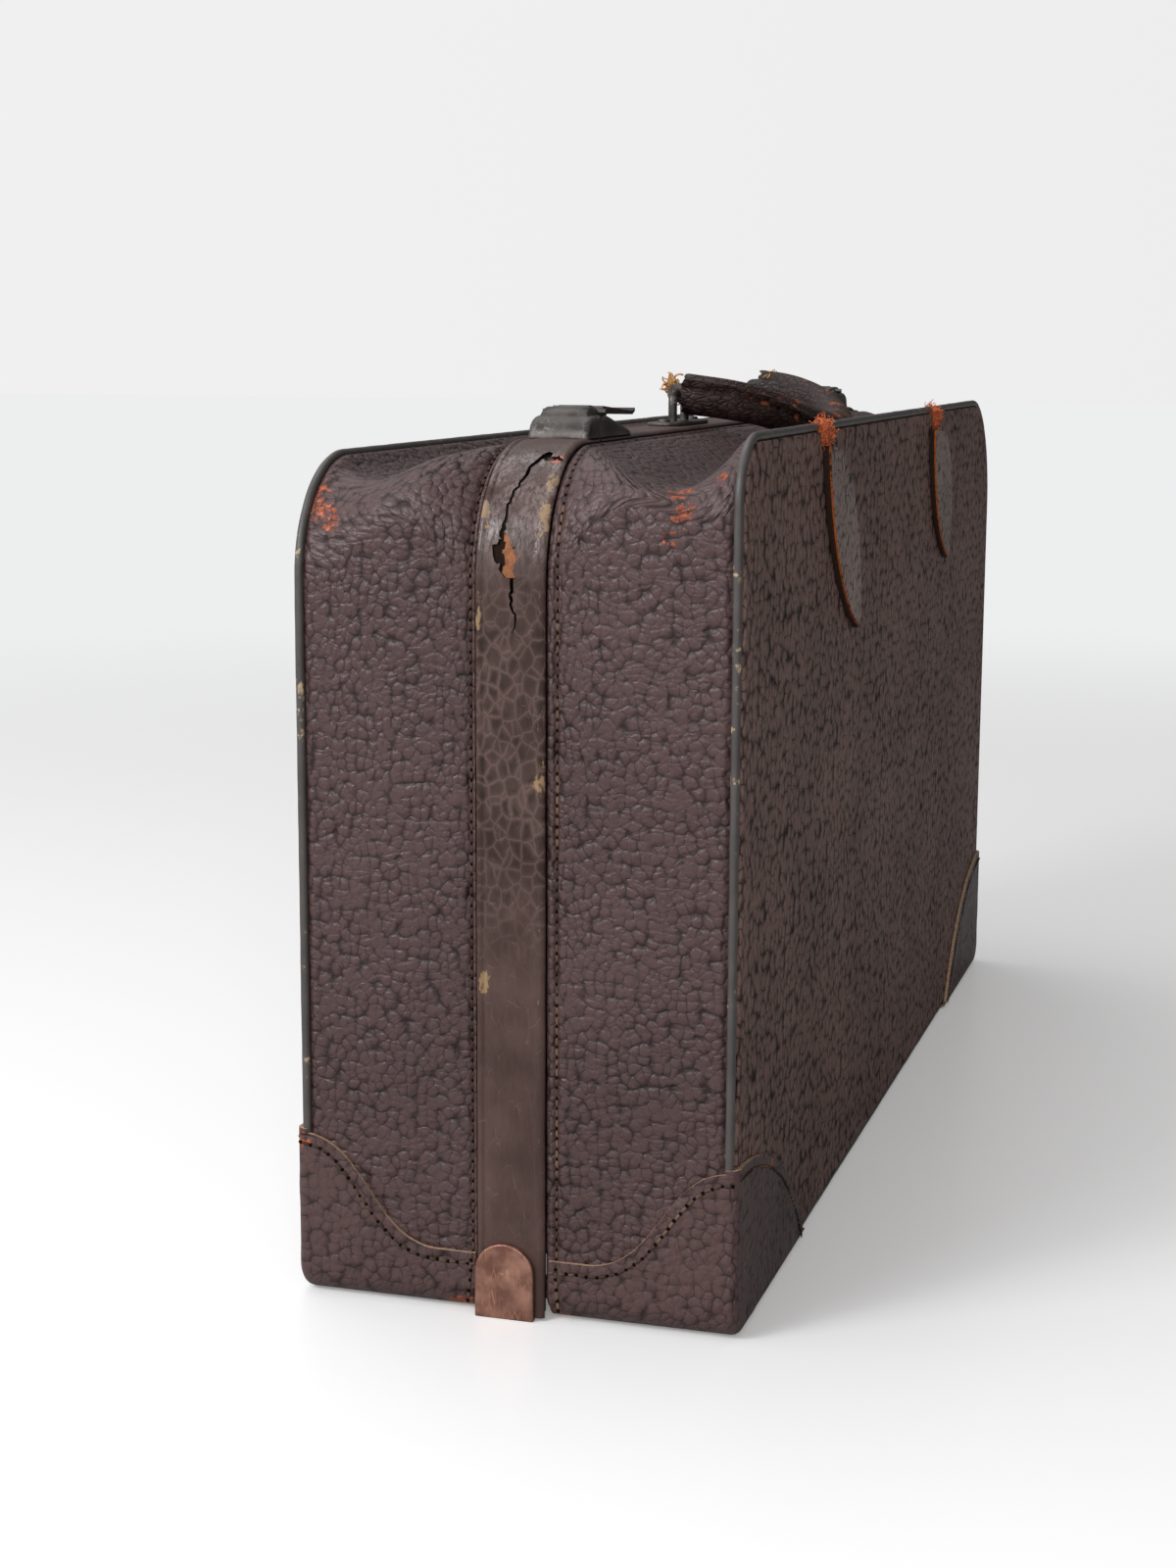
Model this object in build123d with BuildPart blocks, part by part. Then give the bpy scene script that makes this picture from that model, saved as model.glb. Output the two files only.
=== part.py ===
from build123d import *

import os
from dataclasses import dataclass
from math import asin, cos, pi, radians, sin, tan

# Leather body, outside sizes without piping, corner patches and hardware
body_length = 608.0
body_depth = 170.0
front_height = 329.0
back_drop = 9.5
seam_drop = 5.5
seam_corner = 48.0
base_corner = 10.0

# Sag of the top leather between seam and panel, and the flat bands it is made of
back_sag = 7.0
front_sag = 12.0
sag_bands = 6

# Layers of the leather body
gusset_leather = 3.0
panel_leather = 1.6
panel_board = 2.5
base_board = 2.5
lining = 0.8
patch_leather = 1.6
piping_radius = 1.7
piping_sink = 0.6
layer_gap = 0.1

# Steel frames under the leather band that covers the parting line
frame_steel = 1.9
frame_inset = 1.5
band_leather = 1.5
band_back = 13.4
band_front = 12.8
edge_gap = 0.3
split_gap = 0.5

# Hinge at the foot of each end, and how far the front half opens
hinge_height = 3.2
hinge_pin_radius = 1.5
hinge_eye_radius = 2.9
hinge_eye_room = 0.6
hinge_lug_steel = 1.6
hinge_lug_reach = 8.0
hinge_lug_top = 6.8
rivet_head = 1.0
open_slack = 8.0
running_gap = 0.05
press_gap = 0.01

# Plates that cap the hinge on the outside
hinge_plate_steel = 1.8
hinge_plate_back = 14.0
hinge_plate_front = 9.0
hinge_plate_height = 29.5
hinge_plate_lip = 1.0

# Corner patches
patch_start = 14.5
patch_foot_height = 24.0
patch_end_height = 64.5
patch_panel_height = 66.0
patch_reach = 120.0
patch_edge_radius = 2.5

# Catches on top of the band, measured from the lever's pin
catch_inset = 75.0
catch_pin_radius = 1.2
catch_pin_rise = 9.2
catch_ear_radius = 2.9
catch_knuckle_radius = 2.6
catch_knuckle_width = 12.0
catch_sheet = 1.2
catch_heel = 21.0
catch_toe = 38.0
catch_width = 25.6
lever_length = 49.0
lever_width = 20.0
lever_sheet = 1.4
lever_droop = 4.0
nose_width = 3.2
nose_depth = 6.2
nose_reach = 6.6
nose_place = 4.2
keeper_steel = 1.5
keeper_gap = 0.3
keeper_rise = 7.8

# Handle and the brackets that carry it
handle_span = 148.0
handle_rise = 54.0
handle_droop = 6.0
handle_bar_rise = 13.5
handle_start = 7.0
handle_end_size = (9.5, 7.0)
handle_middle_size = (7.3, 8.5)
handle_wall = 2.6
handle_core_start = 12.5
staple_radius = 1.9
staple_spread = 20.0
staple_bend = 3.5
bracket_length = 60.0
bracket_width = 15.0
bracket_steel = 1.6
bracket_rivet_spread = 48.0
rivet_radius = 2.6
loop_ring_radius = 4.2
loop_width = 8.0
loop_shank_width = 5.0
loop_shank_steel = 3.0
tongue_width = 11.0
tongue_leather = 2.4
tongue_over = 2.0

# Strap stubs sewn to the panels: each leaf's points across the panel and down from its top
stub_leather = 4.5
left_stub_across = (-181.0, -160.0, -104.0, -110.0, -155.0)
left_stub_down = (8.0, 50.0, 87.5, 44.0, 10.0)
right_stub_across = (84.0, 100.0, 140.0, 147.0, 120.0)
right_stub_down = (10.0, 55.0, 77.0, 45.0, 12.0)
tack_across = -112.0
tack_down = 24.4
tack_radius = 2.2
tack_head = 1.2

# Sizes and heights that follow
half_length = body_length / 2
half_depth = body_depth / 2
back_height = front_height - back_drop
seam_height = front_height - seam_drop
base_height = patch_leather
board_face = half_depth - panel_leather - panel_board
gusset_edge = board_face - layer_gap
panel_inset = piping_sink + piping_radius + layer_gap
frame_outer = frame_steel - frame_inset
band_inner = frame_outer + layer_gap
band_outer = band_inner + band_leather
front_frame_outer = band_inner - edge_gap
band_top = seam_height + band_outer
catch_pin_x = half_length - catch_inset
catch_pin_height = band_top + catch_pin_rise
keeper_face = nose_reach + keeper_gap
keeper_side = edge_gap + split_gap
handle_bar_height = band_top + handle_bar_rise
bracket_top = band_top + bracket_steel
lining_floor = base_height + gusset_leather + base_board + 2 * layer_gap


@dataclass
class Half:
    """One half of the bag: its name, side of the parting plane and panel outline."""

    name: str
    side: int
    height: float
    sag: float
    left_corner: float
    right_corner: float
    band_reach: float
    frame_outer: float

    @property
    def seam_step(self):
        return self.band_reach + edge_gap


halves = [
    Half("back", 1, back_height, back_sag, 45.0, 45.0, band_back, frame_outer),
    Half("front", -1, front_height, front_sag, 25.0, 60.0, band_front, front_frame_outer),
]


def section_plane(y):
    """An upright plane across the bag's depth at y, facing -Y."""
    return Plane.XZ.offset(-y)


def outline(length, bottom, top, left, right, base=0.0, mode=Mode.ADD):
    """A closed panel outline: rounded top corners and small base corners."""
    with BuildLine() as edge:
        FilletPolyline(
            (-length, bottom),
            (length, bottom),
            (length, top),
            (-length, top),
            radius=[base, base, right, left],
            close=True,
        )
    make_face(edge.edges(), mode=mode)


def arch(grow, bottom, mode=Mode.ADD):
    """The seam outline grown by an offset, square at its foot."""
    corner = seam_corner + grow
    outline(half_length + grow, bottom, seam_height + grow, corner, corner, mode=mode)


def arch_strip(inner, outer, bottom, low, high):
    """An inverted U over ends and top, between two offsets from the seam outline."""
    with BuildSketch(section_plane(high)) as strip:
        arch(outer, bottom)
        arch(inner, bottom - frame_steel, mode=Mode.SUBTRACT)
    extrude(strip.sketch, amount=high - low)


def half_loft(half, inset, bottom, last, mode=Mode.ADD):
    """The body of one half from its seam step to its panel, sagging along the top."""
    base = max(base_corner - inset, 1)
    sections = []
    for band in range(sag_bands + 1):
        u = band / sag_bands
        y = half.seam_step + (last - half.seam_step) * u
        top = seam_height + (half.height - seam_height) * u**3 - half.sag * sin(pi * u) - inset
        left = seam_corner + (half.left_corner - seam_corner) * u - inset
        right = seam_corner + (half.right_corner - seam_corner) * u - inset
        with BuildSketch(section_plane(half.side * y)) as section:
            outline(half_length - inset, bottom, top, left, right, base)
        sections.append(section.sketch.face())
    loft(sections, ruled=True, mode=mode)


def seam_block(half, inset, bottom, start, base, mode=Mode.ADD):
    """The straight length of one half's body between its open edge and its seam step."""
    corner = seam_corner - inset
    with BuildSketch(section_plane(half.side * start)) as section:
        outline(half_length - inset, bottom, seam_height - inset, corner, corner, base)
    extrude(section.sketch, amount=-half.side * (half.seam_step - start), mode=mode)


def opening_relief(half):
    """Cuts the underside back so that the bases clear each other when the bag is open."""
    fall = 2 * hinge_height
    with BuildSketch(Plane.YZ.offset(-body_length)) as wedge:
        with BuildLine():
            Polyline(
                (0, hinge_height),
                (0, hinge_height - fall),
                (half.side * fall / tan(radians(open_slack)), hinge_height - fall),
                close=True,
            )
        make_face()
    extrude(wedge.sketch, amount=2 * body_length, mode=Mode.SUBTRACT)


def hinge_cylinder(radius, start, end, mode=Mode.ADD):
    """A cylinder on the hinge axis at both ends, between two distances from the middle."""
    for side in (-1, 1):
        with BuildSketch(Plane.YZ.offset(side * start)) as disc:
            with Locations((0, hinge_height)):
                Circle(radius)
        extrude(disc.sketch, amount=side * (end - start), mode=mode)


def lug_box(half, start, end, low_y, high_y, top, mode=Mode.ADD):
    """A block beside the hinge eye at both ends, from just over the base to its top."""
    bottom = hinge_height - rivet_head
    for side in (-1, 1):
        with BuildSketch(Plane.YZ.offset(side * start)) as block:
            with Locations((half.side * (low_y + high_y) / 2, (bottom + top) / 2)):
                Rectangle(high_y - low_y, top - bottom)
        extrude(block.sketch, amount=side * (end - start), mode=mode)


def save(piece, name):
    """Labels a finished piece and writes its file."""
    piece.part.label = name
    export_step(piece.part, f"parts/{name}.step")


def save_mirrored(piece, name, about):
    """Writes the piece's mirror image under another name."""
    with BuildPart() as other:
        add(mirror(piece.part, about=about, mode=Mode.PRIVATE))
    save(other, name)


lug_inner = half_length - frame_inset - layer_gap - hinge_lug_steel
lug_outer = half_length - frame_inset - layer_gap
head_room = lug_inner - layer_gap - rivet_head - edge_gap


def build_gusset(half):
    """Leather strip round ends, top and base, stepped down where the frame lies on it."""
    flange = frame_inset + layer_gap
    with BuildPart() as gusset:
        half_loft(half, 0, base_height, gusset_edge)
        seam_block(half, flange, base_height, split_gap, base_corner)
        inside = base_height + gusset_leather
        half_loft(half, gusset_leather, inside, gusset_edge, Mode.SUBTRACT)
        base = base_corner - gusset_leather
        seam_block(half, gusset_leather, inside, split_gap, base, Mode.SUBTRACT)
        opening_relief(half)
        room = hinge_eye_radius + hinge_eye_room
        hinge_cylinder(room, head_room, lug_outer, Mode.SUBTRACT)
        if half.side < 0:
            reach = hinge_lug_reach + edge_gap
            top = hinge_lug_top + edge_gap
            lug_box(half, head_room, lug_outer, 0, reach, top, Mode.SUBTRACT)
    save(gusset, f"{half.name}_gusset")


def build_lining(half):
    """Cloth tray glued inside the gusset and against the panel board."""
    inset = gusset_leather + layer_gap
    start = split_gap + 1
    base = base_corner - gusset_leather
    with BuildPart() as tray:
        half_loft(half, inset, lining_floor, gusset_edge)
        seam_block(half, inset, lining_floor, start, base)
        within = inset + lining
        half_loft(half, within, lining_floor + lining, gusset_edge - lining, Mode.SUBTRACT)
        seam_block(half, within, lining_floor + lining, start, base, Mode.SUBTRACT)
    save(tray, f"{half.name}_lining")


def build_base_board(half):
    """Stiffening board lying on the base leather, under the lining."""
    margin = base_corner
    low = split_gap + hinge_eye_radius + 1
    high = gusset_edge - edge_gap
    with BuildPart() as board:
        with BuildSketch(Plane.XY.offset(base_height + gusset_leather + layer_gap)):
            with Locations((0, half.side * (low + high) / 2)):
                RectangleRounded(body_length - 2 * margin, high - low, lining * 4)
        extrude(amount=base_board)
    save(board, f"{half.name}_base_board")


def panel_outline(half, inset):
    """The half's panel outline, drawn in from the leather's edge."""
    left = half.left_corner - inset
    right = half.right_corner - inset
    outline(
        half_length - inset,
        base_height + inset,
        half.height - inset,
        left,
        right,
        base_corner - inset,
    )


def build_panel(half):
    """Stiff board and the leather that covers it, both let in behind the piping."""
    with BuildPart() as board:
        with BuildSketch(section_plane(half.side * board_face)):
            panel_outline(half, panel_inset)
        extrude(amount=-half.side * (panel_board - layer_gap))
    save(board, f"{half.name}_board")
    with BuildPart() as panel:
        with BuildSketch(section_plane(half.side * (half_depth - panel_leather))):
            panel_outline(half, panel_inset)
        extrude(amount=-half.side * panel_leather)
        outer_face = panel.faces().sort_by(Axis.Y)[0 if half.side < 0 else -1]
        fillet(outer_face.edges(), panel_leather / 2)
    save(panel, f"{half.name}_panel")


def build_piping(half):
    """Round bead in the corner between gusset and panel, hidden by the corner patches."""
    y = half.side * (gusset_edge + layer_gap + piping_radius)
    length = half_length - piping_sink
    top = half.height - piping_sink
    foot = patch_panel_height + edge_gap
    low = base_height + piping_sink
    plane = section_plane(y)
    with BuildPart() as piping:
        with BuildLine(plane) as over:
            FilletPolyline(
                (-length, foot),
                (-length, top),
                (length, top),
                (length, foot),
                radius=[half.left_corner - piping_sink, half.right_corner - piping_sink],
            )
        with BuildSketch(Plane(origin=over.line @ 0, z_dir=over.line % 0)):
            Circle(piping_radius)
        sweep(path=over.line)
        run = half_length - patch_reach - edge_gap
        with BuildSketch(Plane(origin=(-run, y, low), z_dir=(1, 0, 0))):
            Circle(piping_radius)
        extrude(amount=2 * run)
    save(piping, f"{half.name}_piping")


def build_frames():
    """Flat steel arch of each half with its hinge eyes: the back pair outside the front."""
    foot = hinge_height + edge_gap
    back, front = halves
    with BuildPart() as frame:
        arch_strip(-frame_inset, back.frame_outer, foot, split_gap, back.band_reach - edge_gap)
        steel = half_length - frame_inset, half_length + back.frame_outer
        lug_box(back, *steel, split_gap, hinge_lug_top, hinge_lug_reach)
        opening_relief(back)
        hinge_cylinder(hinge_eye_radius, *steel)
        hinge_cylinder(hinge_pin_radius + press_gap, *steel, Mode.SUBTRACT)
    save(frame, "back_frame")
    with BuildPart() as frame:
        outer = front.frame_outer
        arch_strip(-frame_inset, outer, foot, edge_gap - front.band_reach, -split_gap)
        steel = half_length - frame_inset, half_length + outer
        hinge_cylinder(hinge_eye_radius + hinge_eye_room, *steel, Mode.SUBTRACT)
        bridge = hinge_eye_radius + hinge_eye_room + edge_gap
        lug_box(front, lug_inner, half_length + outer, bridge, hinge_lug_reach, hinge_lug_top)
        lug_box(front, lug_inner, lug_outer, split_gap, hinge_lug_reach, hinge_lug_top)
        opening_relief(front)
        hinge_cylinder(hinge_eye_radius, lug_inner, lug_outer)
        hole = hinge_pin_radius + running_gap
        hinge_cylinder(hole, lug_inner, lug_outer, Mode.SUBTRACT)
    save(frame, "front_frame")


def build_band():
    """Leather band over both frames, notched where the catch keepers come through."""
    with BuildPart() as band:
        bottom = hinge_plate_lip + edge_gap
        arch_strip(band_inner, band_outer, bottom, -band_front, band_back)
        slot = keeper_steel + 2 * keeper_gap
        for side in (-1, 1):
            x = side * (catch_pin_x + keeper_face + keeper_steel / 2)
            with BuildSketch(Plane.XY.offset(seam_height)):
                with Locations((x, -(band_front + keeper_side) / 2)):
                    Rectangle(slot, band_front - keeper_side + 2 * edge_gap)
            extrude(amount=band_outer + edge_gap, mode=Mode.SUBTRACT)
    save(band, "frame_band")


def build_hinge_pins():
    """Pins through both hinge eyes, headed inside."""
    with BuildPart() as pins:
        inner = lug_inner - layer_gap
        hinge_cylinder(hinge_pin_radius, inner, half_length + frame_outer)
        hinge_cylinder(hinge_eye_radius - edge_gap, inner - rivet_head, inner)
    save(pins, "hinge_pins")


def build_hinge_plates():
    """Round-topped plate over the foot of the band, its lip turned under the band's end."""
    width = hinge_plate_back + hinge_plate_front
    middle = (hinge_plate_back - hinge_plate_front) / 2
    face = half_length + band_outer + running_gap
    with BuildPart() as plate:
        with BuildSketch(Plane.YZ.offset(face)):
            straight = hinge_plate_height - width / 2
            with Locations((middle, straight / 2)):
                Rectangle(width, straight)
            with Locations((middle, straight)):
                Circle(width / 2)
        extrude(amount=hinge_plate_steel)
        outer = plate.faces().sort_by(Axis.X)[-1]
        fillet(outer.edges(), hinge_plate_steel / 2)
        with BuildSketch(Plane.YZ.offset(face)):
            with Locations((middle, hinge_plate_lip / 2)):
                Rectangle(width, hinge_plate_lip)
        extrude(amount=-band_leather)
    save(plate, "right_hinge_plate")
    save_mirrored(plate, "left_hinge_plate", Plane.YZ)


def corner_block(grow, edge):
    """A block with the body's base corner, grown by an offset, with a rounded face edge."""
    length = half_length + grow
    reach = 2 * patch_reach
    with BuildPart() as block:
        with BuildSketch(section_plane(0)):
            with BuildLine():
                FilletPolyline(
                    (length, base_height - grow),
                    (length, reach),
                    (length - reach, reach),
                    (length - reach, base_height - grow),
                    radius=[base_corner + grow, 0, 0, 0],
                    close=True,
                )
            make_face()
        extrude(amount=-(half_depth + grow))
        fillet(block.faces().sort_by(Axis.Y)[-1].edges(), edge)
    return block.part


def build_patches():
    """Leather patches over the lower corners, each wrapped on end, panel and base."""
    inner = corner_block(running_gap, patch_edge_radius)
    outer = corner_block(patch_leather, patch_edge_radius + patch_leather)
    past = 2 * patch_leather
    foot_start = half_length - 3 * base_corner
    with BuildPart() as region:
        with BuildSketch(Plane.YZ.offset(half_length - base_corner - 1)):
            with BuildLine():
                Polyline(
                    (half_depth + past, patch_end_height),
                    (half_depth + past, -past),
                    (patch_start, -past),
                    (patch_start, patch_foot_height),
                    (2 * patch_start, patch_foot_height),
                )
                mid = (2 * patch_start + half_depth) / 2
                Bezier(
                    (2 * patch_start, patch_foot_height),
                    (mid, patch_foot_height),
                    (mid, patch_end_height),
                    (half_depth, patch_end_height),
                )
                Line((half_depth, patch_end_height), (half_depth + past, patch_end_height))
            make_face()
        extrude(amount=base_corner + 1 + past)
        with BuildSketch(section_plane(half_depth - past)):
            with BuildLine():
                Polyline(
                    (half_length - patch_reach, -past),
                    (half_length + past, -past),
                    (half_length + past, patch_panel_height),
                    (half_length, patch_panel_height),
                )
                ThreePointArc(
                    (half_length, patch_panel_height),
                    (half_length - 0.6 * patch_reach, 0.68 * patch_panel_height),
                    (half_length - patch_reach, -past),
                )
            make_face()
        extrude(amount=-2 * past)
        with BuildSketch(Plane.XY.offset(-past)):
            with BuildLine():
                Polyline(
                    (half_length - patch_reach, half_depth + past),
                    (half_length + past, half_depth + past),
                    (half_length + past, patch_start),
                    (foot_start, patch_start),
                )
                ThreePointArc(
                    (foot_start, patch_start),
                    (half_length - 0.62 * patch_reach, half_depth / 2),
                    (half_length - patch_reach, half_depth + past),
                )
            make_face()
        extrude(amount=2 * past)
    with BuildPart() as patch:
        add(outer)
        add(inner, mode=Mode.SUBTRACT)
        add(region.part, mode=Mode.INTERSECT)
        opening_relief(halves[0])
    save(patch, "back_right_patch")
    save_mirrored(patch, "back_left_patch", Plane.YZ)
    save_mirrored(patch, "front_right_patch", Plane.XZ)
    with BuildPart() as opposite:
        add(mirror(patch.part, about=Plane.YZ, mode=Mode.PRIVATE))
    save_mirrored(opposite, "front_left_patch", Plane.XZ)


def catch_plane(y, tilt=0.0):
    """A plane along the left catch through its pin, facing -Y, tilted down to the toe."""
    drop = radians(tilt)
    return Plane(
        origin=(-catch_pin_x, y, catch_pin_height),
        x_dir=(cos(drop), 0, -sin(drop)),
        z_dir=(0, -1, 0),
    )


def catch_profile():
    """Side view of the catch case: steep heel, ears round the pin, long sloping toe."""
    crown = catch_ear_radius * 0.7
    with BuildLine() as edge:
        Polyline(
            (-catch_heel, -catch_pin_rise),
            (-catch_heel * 0.62, -catch_pin_rise * 0.08),
            (-catch_heel * 0.28, crown),
            (0, crown),
            (catch_knuckle_radius + lever_sheet, -edge_gap),
            (catch_toe, -catch_pin_rise * 0.82),
            (catch_toe, -catch_pin_rise),
            close=True,
        )
    make_face(edge.edges())


def build_catches():
    """Pressed case with its pin, lever with a hooked nose, and the keeper it holds."""
    half_width = catch_width / 2
    cheek = catch_knuckle_width / 2 + edge_gap
    nose_high = nose_place - nose_width / 2
    nose_low = nose_place + nose_width / 2
    swing = (nose_reach**2 + nose_depth**2) ** 0.5 + edge_gap
    slot = keeper_steel + 2 * keeper_gap
    slot_middle = -(keeper_face + keeper_steel / 2)

    with BuildPart() as case:
        with BuildSketch(catch_plane(half_width)):
            catch_profile()
        extrude(amount=catch_width)
        with BuildSketch(catch_plane(half_width - catch_sheet)):
            catch_profile()
            offset(amount=-catch_sheet, kind=Kind.INTERSECTION, mode=Mode.REPLACE)
            with Locations((0, catch_sheet - catch_pin_rise)):
                Rectangle(catch_heel, 2 * catch_sheet)
        extrude(amount=catch_width - 2 * catch_sheet, mode=Mode.SUBTRACT)
        for y in (half_width, -cheek):
            with BuildSketch(catch_plane(y)):
                Circle(catch_ear_radius)
                with Locations((0, -catch_pin_rise / 2)):
                    Rectangle(2 * catch_ear_radius, catch_pin_rise)
            extrude(amount=half_width - cheek)
        with BuildSketch(catch_plane(cheek)):
            Circle(catch_knuckle_radius + hinge_eye_room)
            with Locations((0, catch_ear_radius)):
                Rectangle(2 * (catch_knuckle_radius + hinge_eye_room), 2 * catch_ear_radius)
        extrude(amount=2 * cheek, mode=Mode.SUBTRACT)
        with BuildSketch(catch_plane(edge_gap - nose_high)):
            with BuildLine():
                ThreePointArc((-swing, 0), (0, -swing), (swing, 0))
                Line((swing, 0), (-swing, 0))
            make_face()
        extrude(amount=nose_width + 2 * edge_gap, mode=Mode.SUBTRACT)
        with BuildSketch(catch_plane(-split_gap)):
            with Locations((slot_middle, (keeper_rise + edge_gap) / 2 - catch_pin_rise)):
                Rectangle(slot, keeper_rise + edge_gap)
        extrude(amount=half_width, mode=Mode.SUBTRACT)
        with BuildSketch(catch_plane(half_width)):
            Circle(catch_pin_radius + press_gap)
        extrude(amount=catch_width, mode=Mode.SUBTRACT)
    save(case, "left_catch_case")
    save_mirrored(case, "right_catch_case", Plane.YZ)

    with BuildPart() as lever:
        with BuildSketch(catch_plane(catch_knuckle_width / 2)):
            Circle(catch_knuckle_radius)
        extrude(amount=catch_knuckle_width)
        root = catch_knuckle_radius + lever_sheet
        under = catch_knuckle_radius - lever_sheet
        for start, width in ((0, catch_knuckle_width), (root, lever_width)):
            with BuildSketch(catch_plane(width / 2, lever_droop)):
                with BuildLine():
                    Polyline(
                        (start, under),
                        (lever_length * 0.93, under),
                        (lever_length, under + lever_sheet),
                        (lever_length, under + 2 * lever_sheet),
                        (lever_length * 0.93, under + lever_sheet),
                        (start, under + lever_sheet),
                        close=True,
                    )
                make_face()
            extrude(amount=width)
        with BuildSketch(catch_plane(-nose_high)):
            with Locations((0, -nose_depth / 2)):
                Rectangle(catch_knuckle_radius, nose_depth)
            thick = catch_knuckle_radius - edge_gap
            with Locations(((catch_knuckle_radius / 2 - nose_reach) / 2, thick / 2 - nose_depth)):
                Rectangle(nose_reach + catch_knuckle_radius / 2, thick)
        extrude(amount=nose_width)
        with BuildSketch(catch_plane(catch_knuckle_width / 2)):
            Circle(catch_pin_radius + running_gap)
        extrude(amount=catch_knuckle_width, mode=Mode.SUBTRACT)
    save(lever, "left_catch_lever")
    save_mirrored(lever, "right_catch_lever", Plane.YZ)

    with BuildPart() as pins:
        with BuildSketch(catch_plane(half_width - edge_gap)):
            Circle(catch_pin_radius)
        extrude(amount=catch_width - 2 * edge_gap)
        mirror(about=Plane.YZ)
    save(pins, "catch_pins")

    frame_top = seam_height + front_frame_outer
    with BuildPart() as keepers:
        x = -catch_pin_x - keeper_face - keeper_steel
        with BuildSketch(Plane.YZ.offset(x)):
            low, high = -band_front + split_gap, -keeper_side
            top = band_top + keeper_rise
            with Locations(((low + high) / 2, (frame_top + top) / 2)):
                Rectangle(high - low, top - frame_top)
            window_low = catch_pin_height - nose_depth - edge_gap
            window_high = window_low + catch_knuckle_radius + 1.5
            with Locations((-nose_place, (window_low + window_high) / 2)):
                Rectangle(nose_low - nose_high + 2 * edge_gap, window_high - window_low,
                          mode=Mode.SUBTRACT)
        extrude(amount=keeper_steel)
        mirror(about=Plane.YZ)
    save(keepers, "catch_keepers")


def build_brackets():
    """Oval plates riveted on the band, with the wire staples that the handle turns on."""
    with BuildPart() as plate:
        with BuildSketch(Plane.XY.offset(band_top)):
            with Locations((-handle_span / 2, 0)):
                SlotOverall(bracket_length, bracket_width)
        extrude(amount=bracket_steel)
        chamfer(plate.faces().sort_by(Axis.Z)[-1].edges(), bracket_steel / 3)
    save(plate, "left_bracket_plate")
    save_mirrored(plate, "right_bracket_plate", Plane.YZ)

    with BuildPart() as staple:
        with BuildLine(Plane.XZ) as wire:
            left = -(handle_span + staple_spread) / 2
            right = left + staple_spread
            FilletPolyline(
                (left, bracket_top),
                (left, handle_bar_height),
                (right, handle_bar_height),
                (right, bracket_top),
                radius=staple_bend,
            )
        with BuildSketch(Plane(origin=wire.line @ 0, z_dir=(0, 0, 1))):
            Circle(staple_radius)
        sweep(path=wire.line)
    save(staple, "left_bracket_staple")
    save_mirrored(staple, "right_bracket_staple", Plane.YZ)

    with BuildPart() as rivets:
        with BuildSketch(Plane.XY.offset(bracket_top)):
            with Locations((-handle_span / 2, 0)):
                with GridLocations(bracket_rivet_spread, 0, 2, 1):
                    Circle(rivet_radius)
        extrude(amount=tack_head)
        fillet(rivets.faces().group_by(Axis.Z)[-1].edges(), tack_head * 0.8)
        mirror(about=Plane.YZ)
    save(rivets, "bracket_rivets")


def handle_point(t):
    """A point of the handle's arch, which lies forward of the bars and droops a little."""
    out = handle_rise * sin(t)
    droop = radians(handle_droop)
    x = -handle_span / 2 * cos(t)
    return Vector(x, -out * cos(droop), handle_bar_height - out * sin(droop))


def handle_plane(t):
    """A plane across the handle's arch at t, with its local x upwards."""
    step = 0.001
    along = handle_point(t + step) - handle_point(t - step)
    droop = radians(handle_droop)
    return Plane(origin=handle_point(t), x_dir=(0, -sin(droop), cos(droop)), z_dir=along)


def handle_loft(start, inset, count=9, mode=Mode.ADD):
    """Ellipses lofted along the arch: tall at the ends, broad in the middle."""
    first = asin(start / handle_rise)
    sections = []
    for i in range(count):
        t = first + (pi - 2 * first) * i / (count - 1)
        tall, broad = (
            end + (middle - end) * sin(t) ** 2
            for end, middle in zip(handle_end_size, handle_middle_size)
        )
        with BuildSketch(handle_plane(t)) as section:
            Ellipse(tall - inset, broad - inset)
        sections.append(section.sketch.face())
    loft(sections, mode=mode)


def build_handle():
    """Rolled leather grip round a cord core, with a steel loop at each end."""
    droop = radians(handle_droop)
    out = Vector(0, -cos(droop), -sin(droop))
    with BuildPart() as grip:
        handle_loft(handle_start, 0)
        handle_loft(handle_start, handle_wall, mode=Mode.SUBTRACT)
        under = handle_end_size[0] - handle_wall - layer_gap
        for side in (-1, 1):
            root = Vector(side * handle_span / 2, 0, handle_bar_height) - out * tongue_over
            with BuildSketch(Plane(origin=root, x_dir=(1, 0, 0), z_dir=out)):
                with Locations((0, under + tongue_leather / 2)):
                    Rectangle(tongue_width, tongue_leather)
            extrude(amount=tongue_over + handle_start + 1)
    save(grip, "handle_grip")
    with BuildPart() as core:
        handle_loft(handle_core_start, handle_wall + layer_gap, 7)
    save(core, "handle_core")
    with BuildPart() as loops:
        for side in (-1, 1):
            x = side * handle_span / 2
            with BuildSketch(Plane.YZ.offset(x - loop_width / 2)):
                with Locations((0, handle_bar_height)):
                    Circle(loop_ring_radius)
            extrude(amount=loop_width)
            root = Vector(x, 0, handle_bar_height) + out * staple_radius
            with BuildSketch(Plane(origin=root, x_dir=(1, 0, 0), z_dir=out)):
                Rectangle(loop_shank_width, loop_shank_steel)
            extrude(amount=handle_core_start - edge_gap - staple_radius)
            with BuildSketch(Plane.YZ.offset(x - loop_width / 2)):
                with Locations((0, handle_bar_height)):
                    Circle(staple_radius + layer_gap)
            extrude(amount=loop_width, mode=Mode.SUBTRACT)
    save(loops, "handle_loops")


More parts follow.
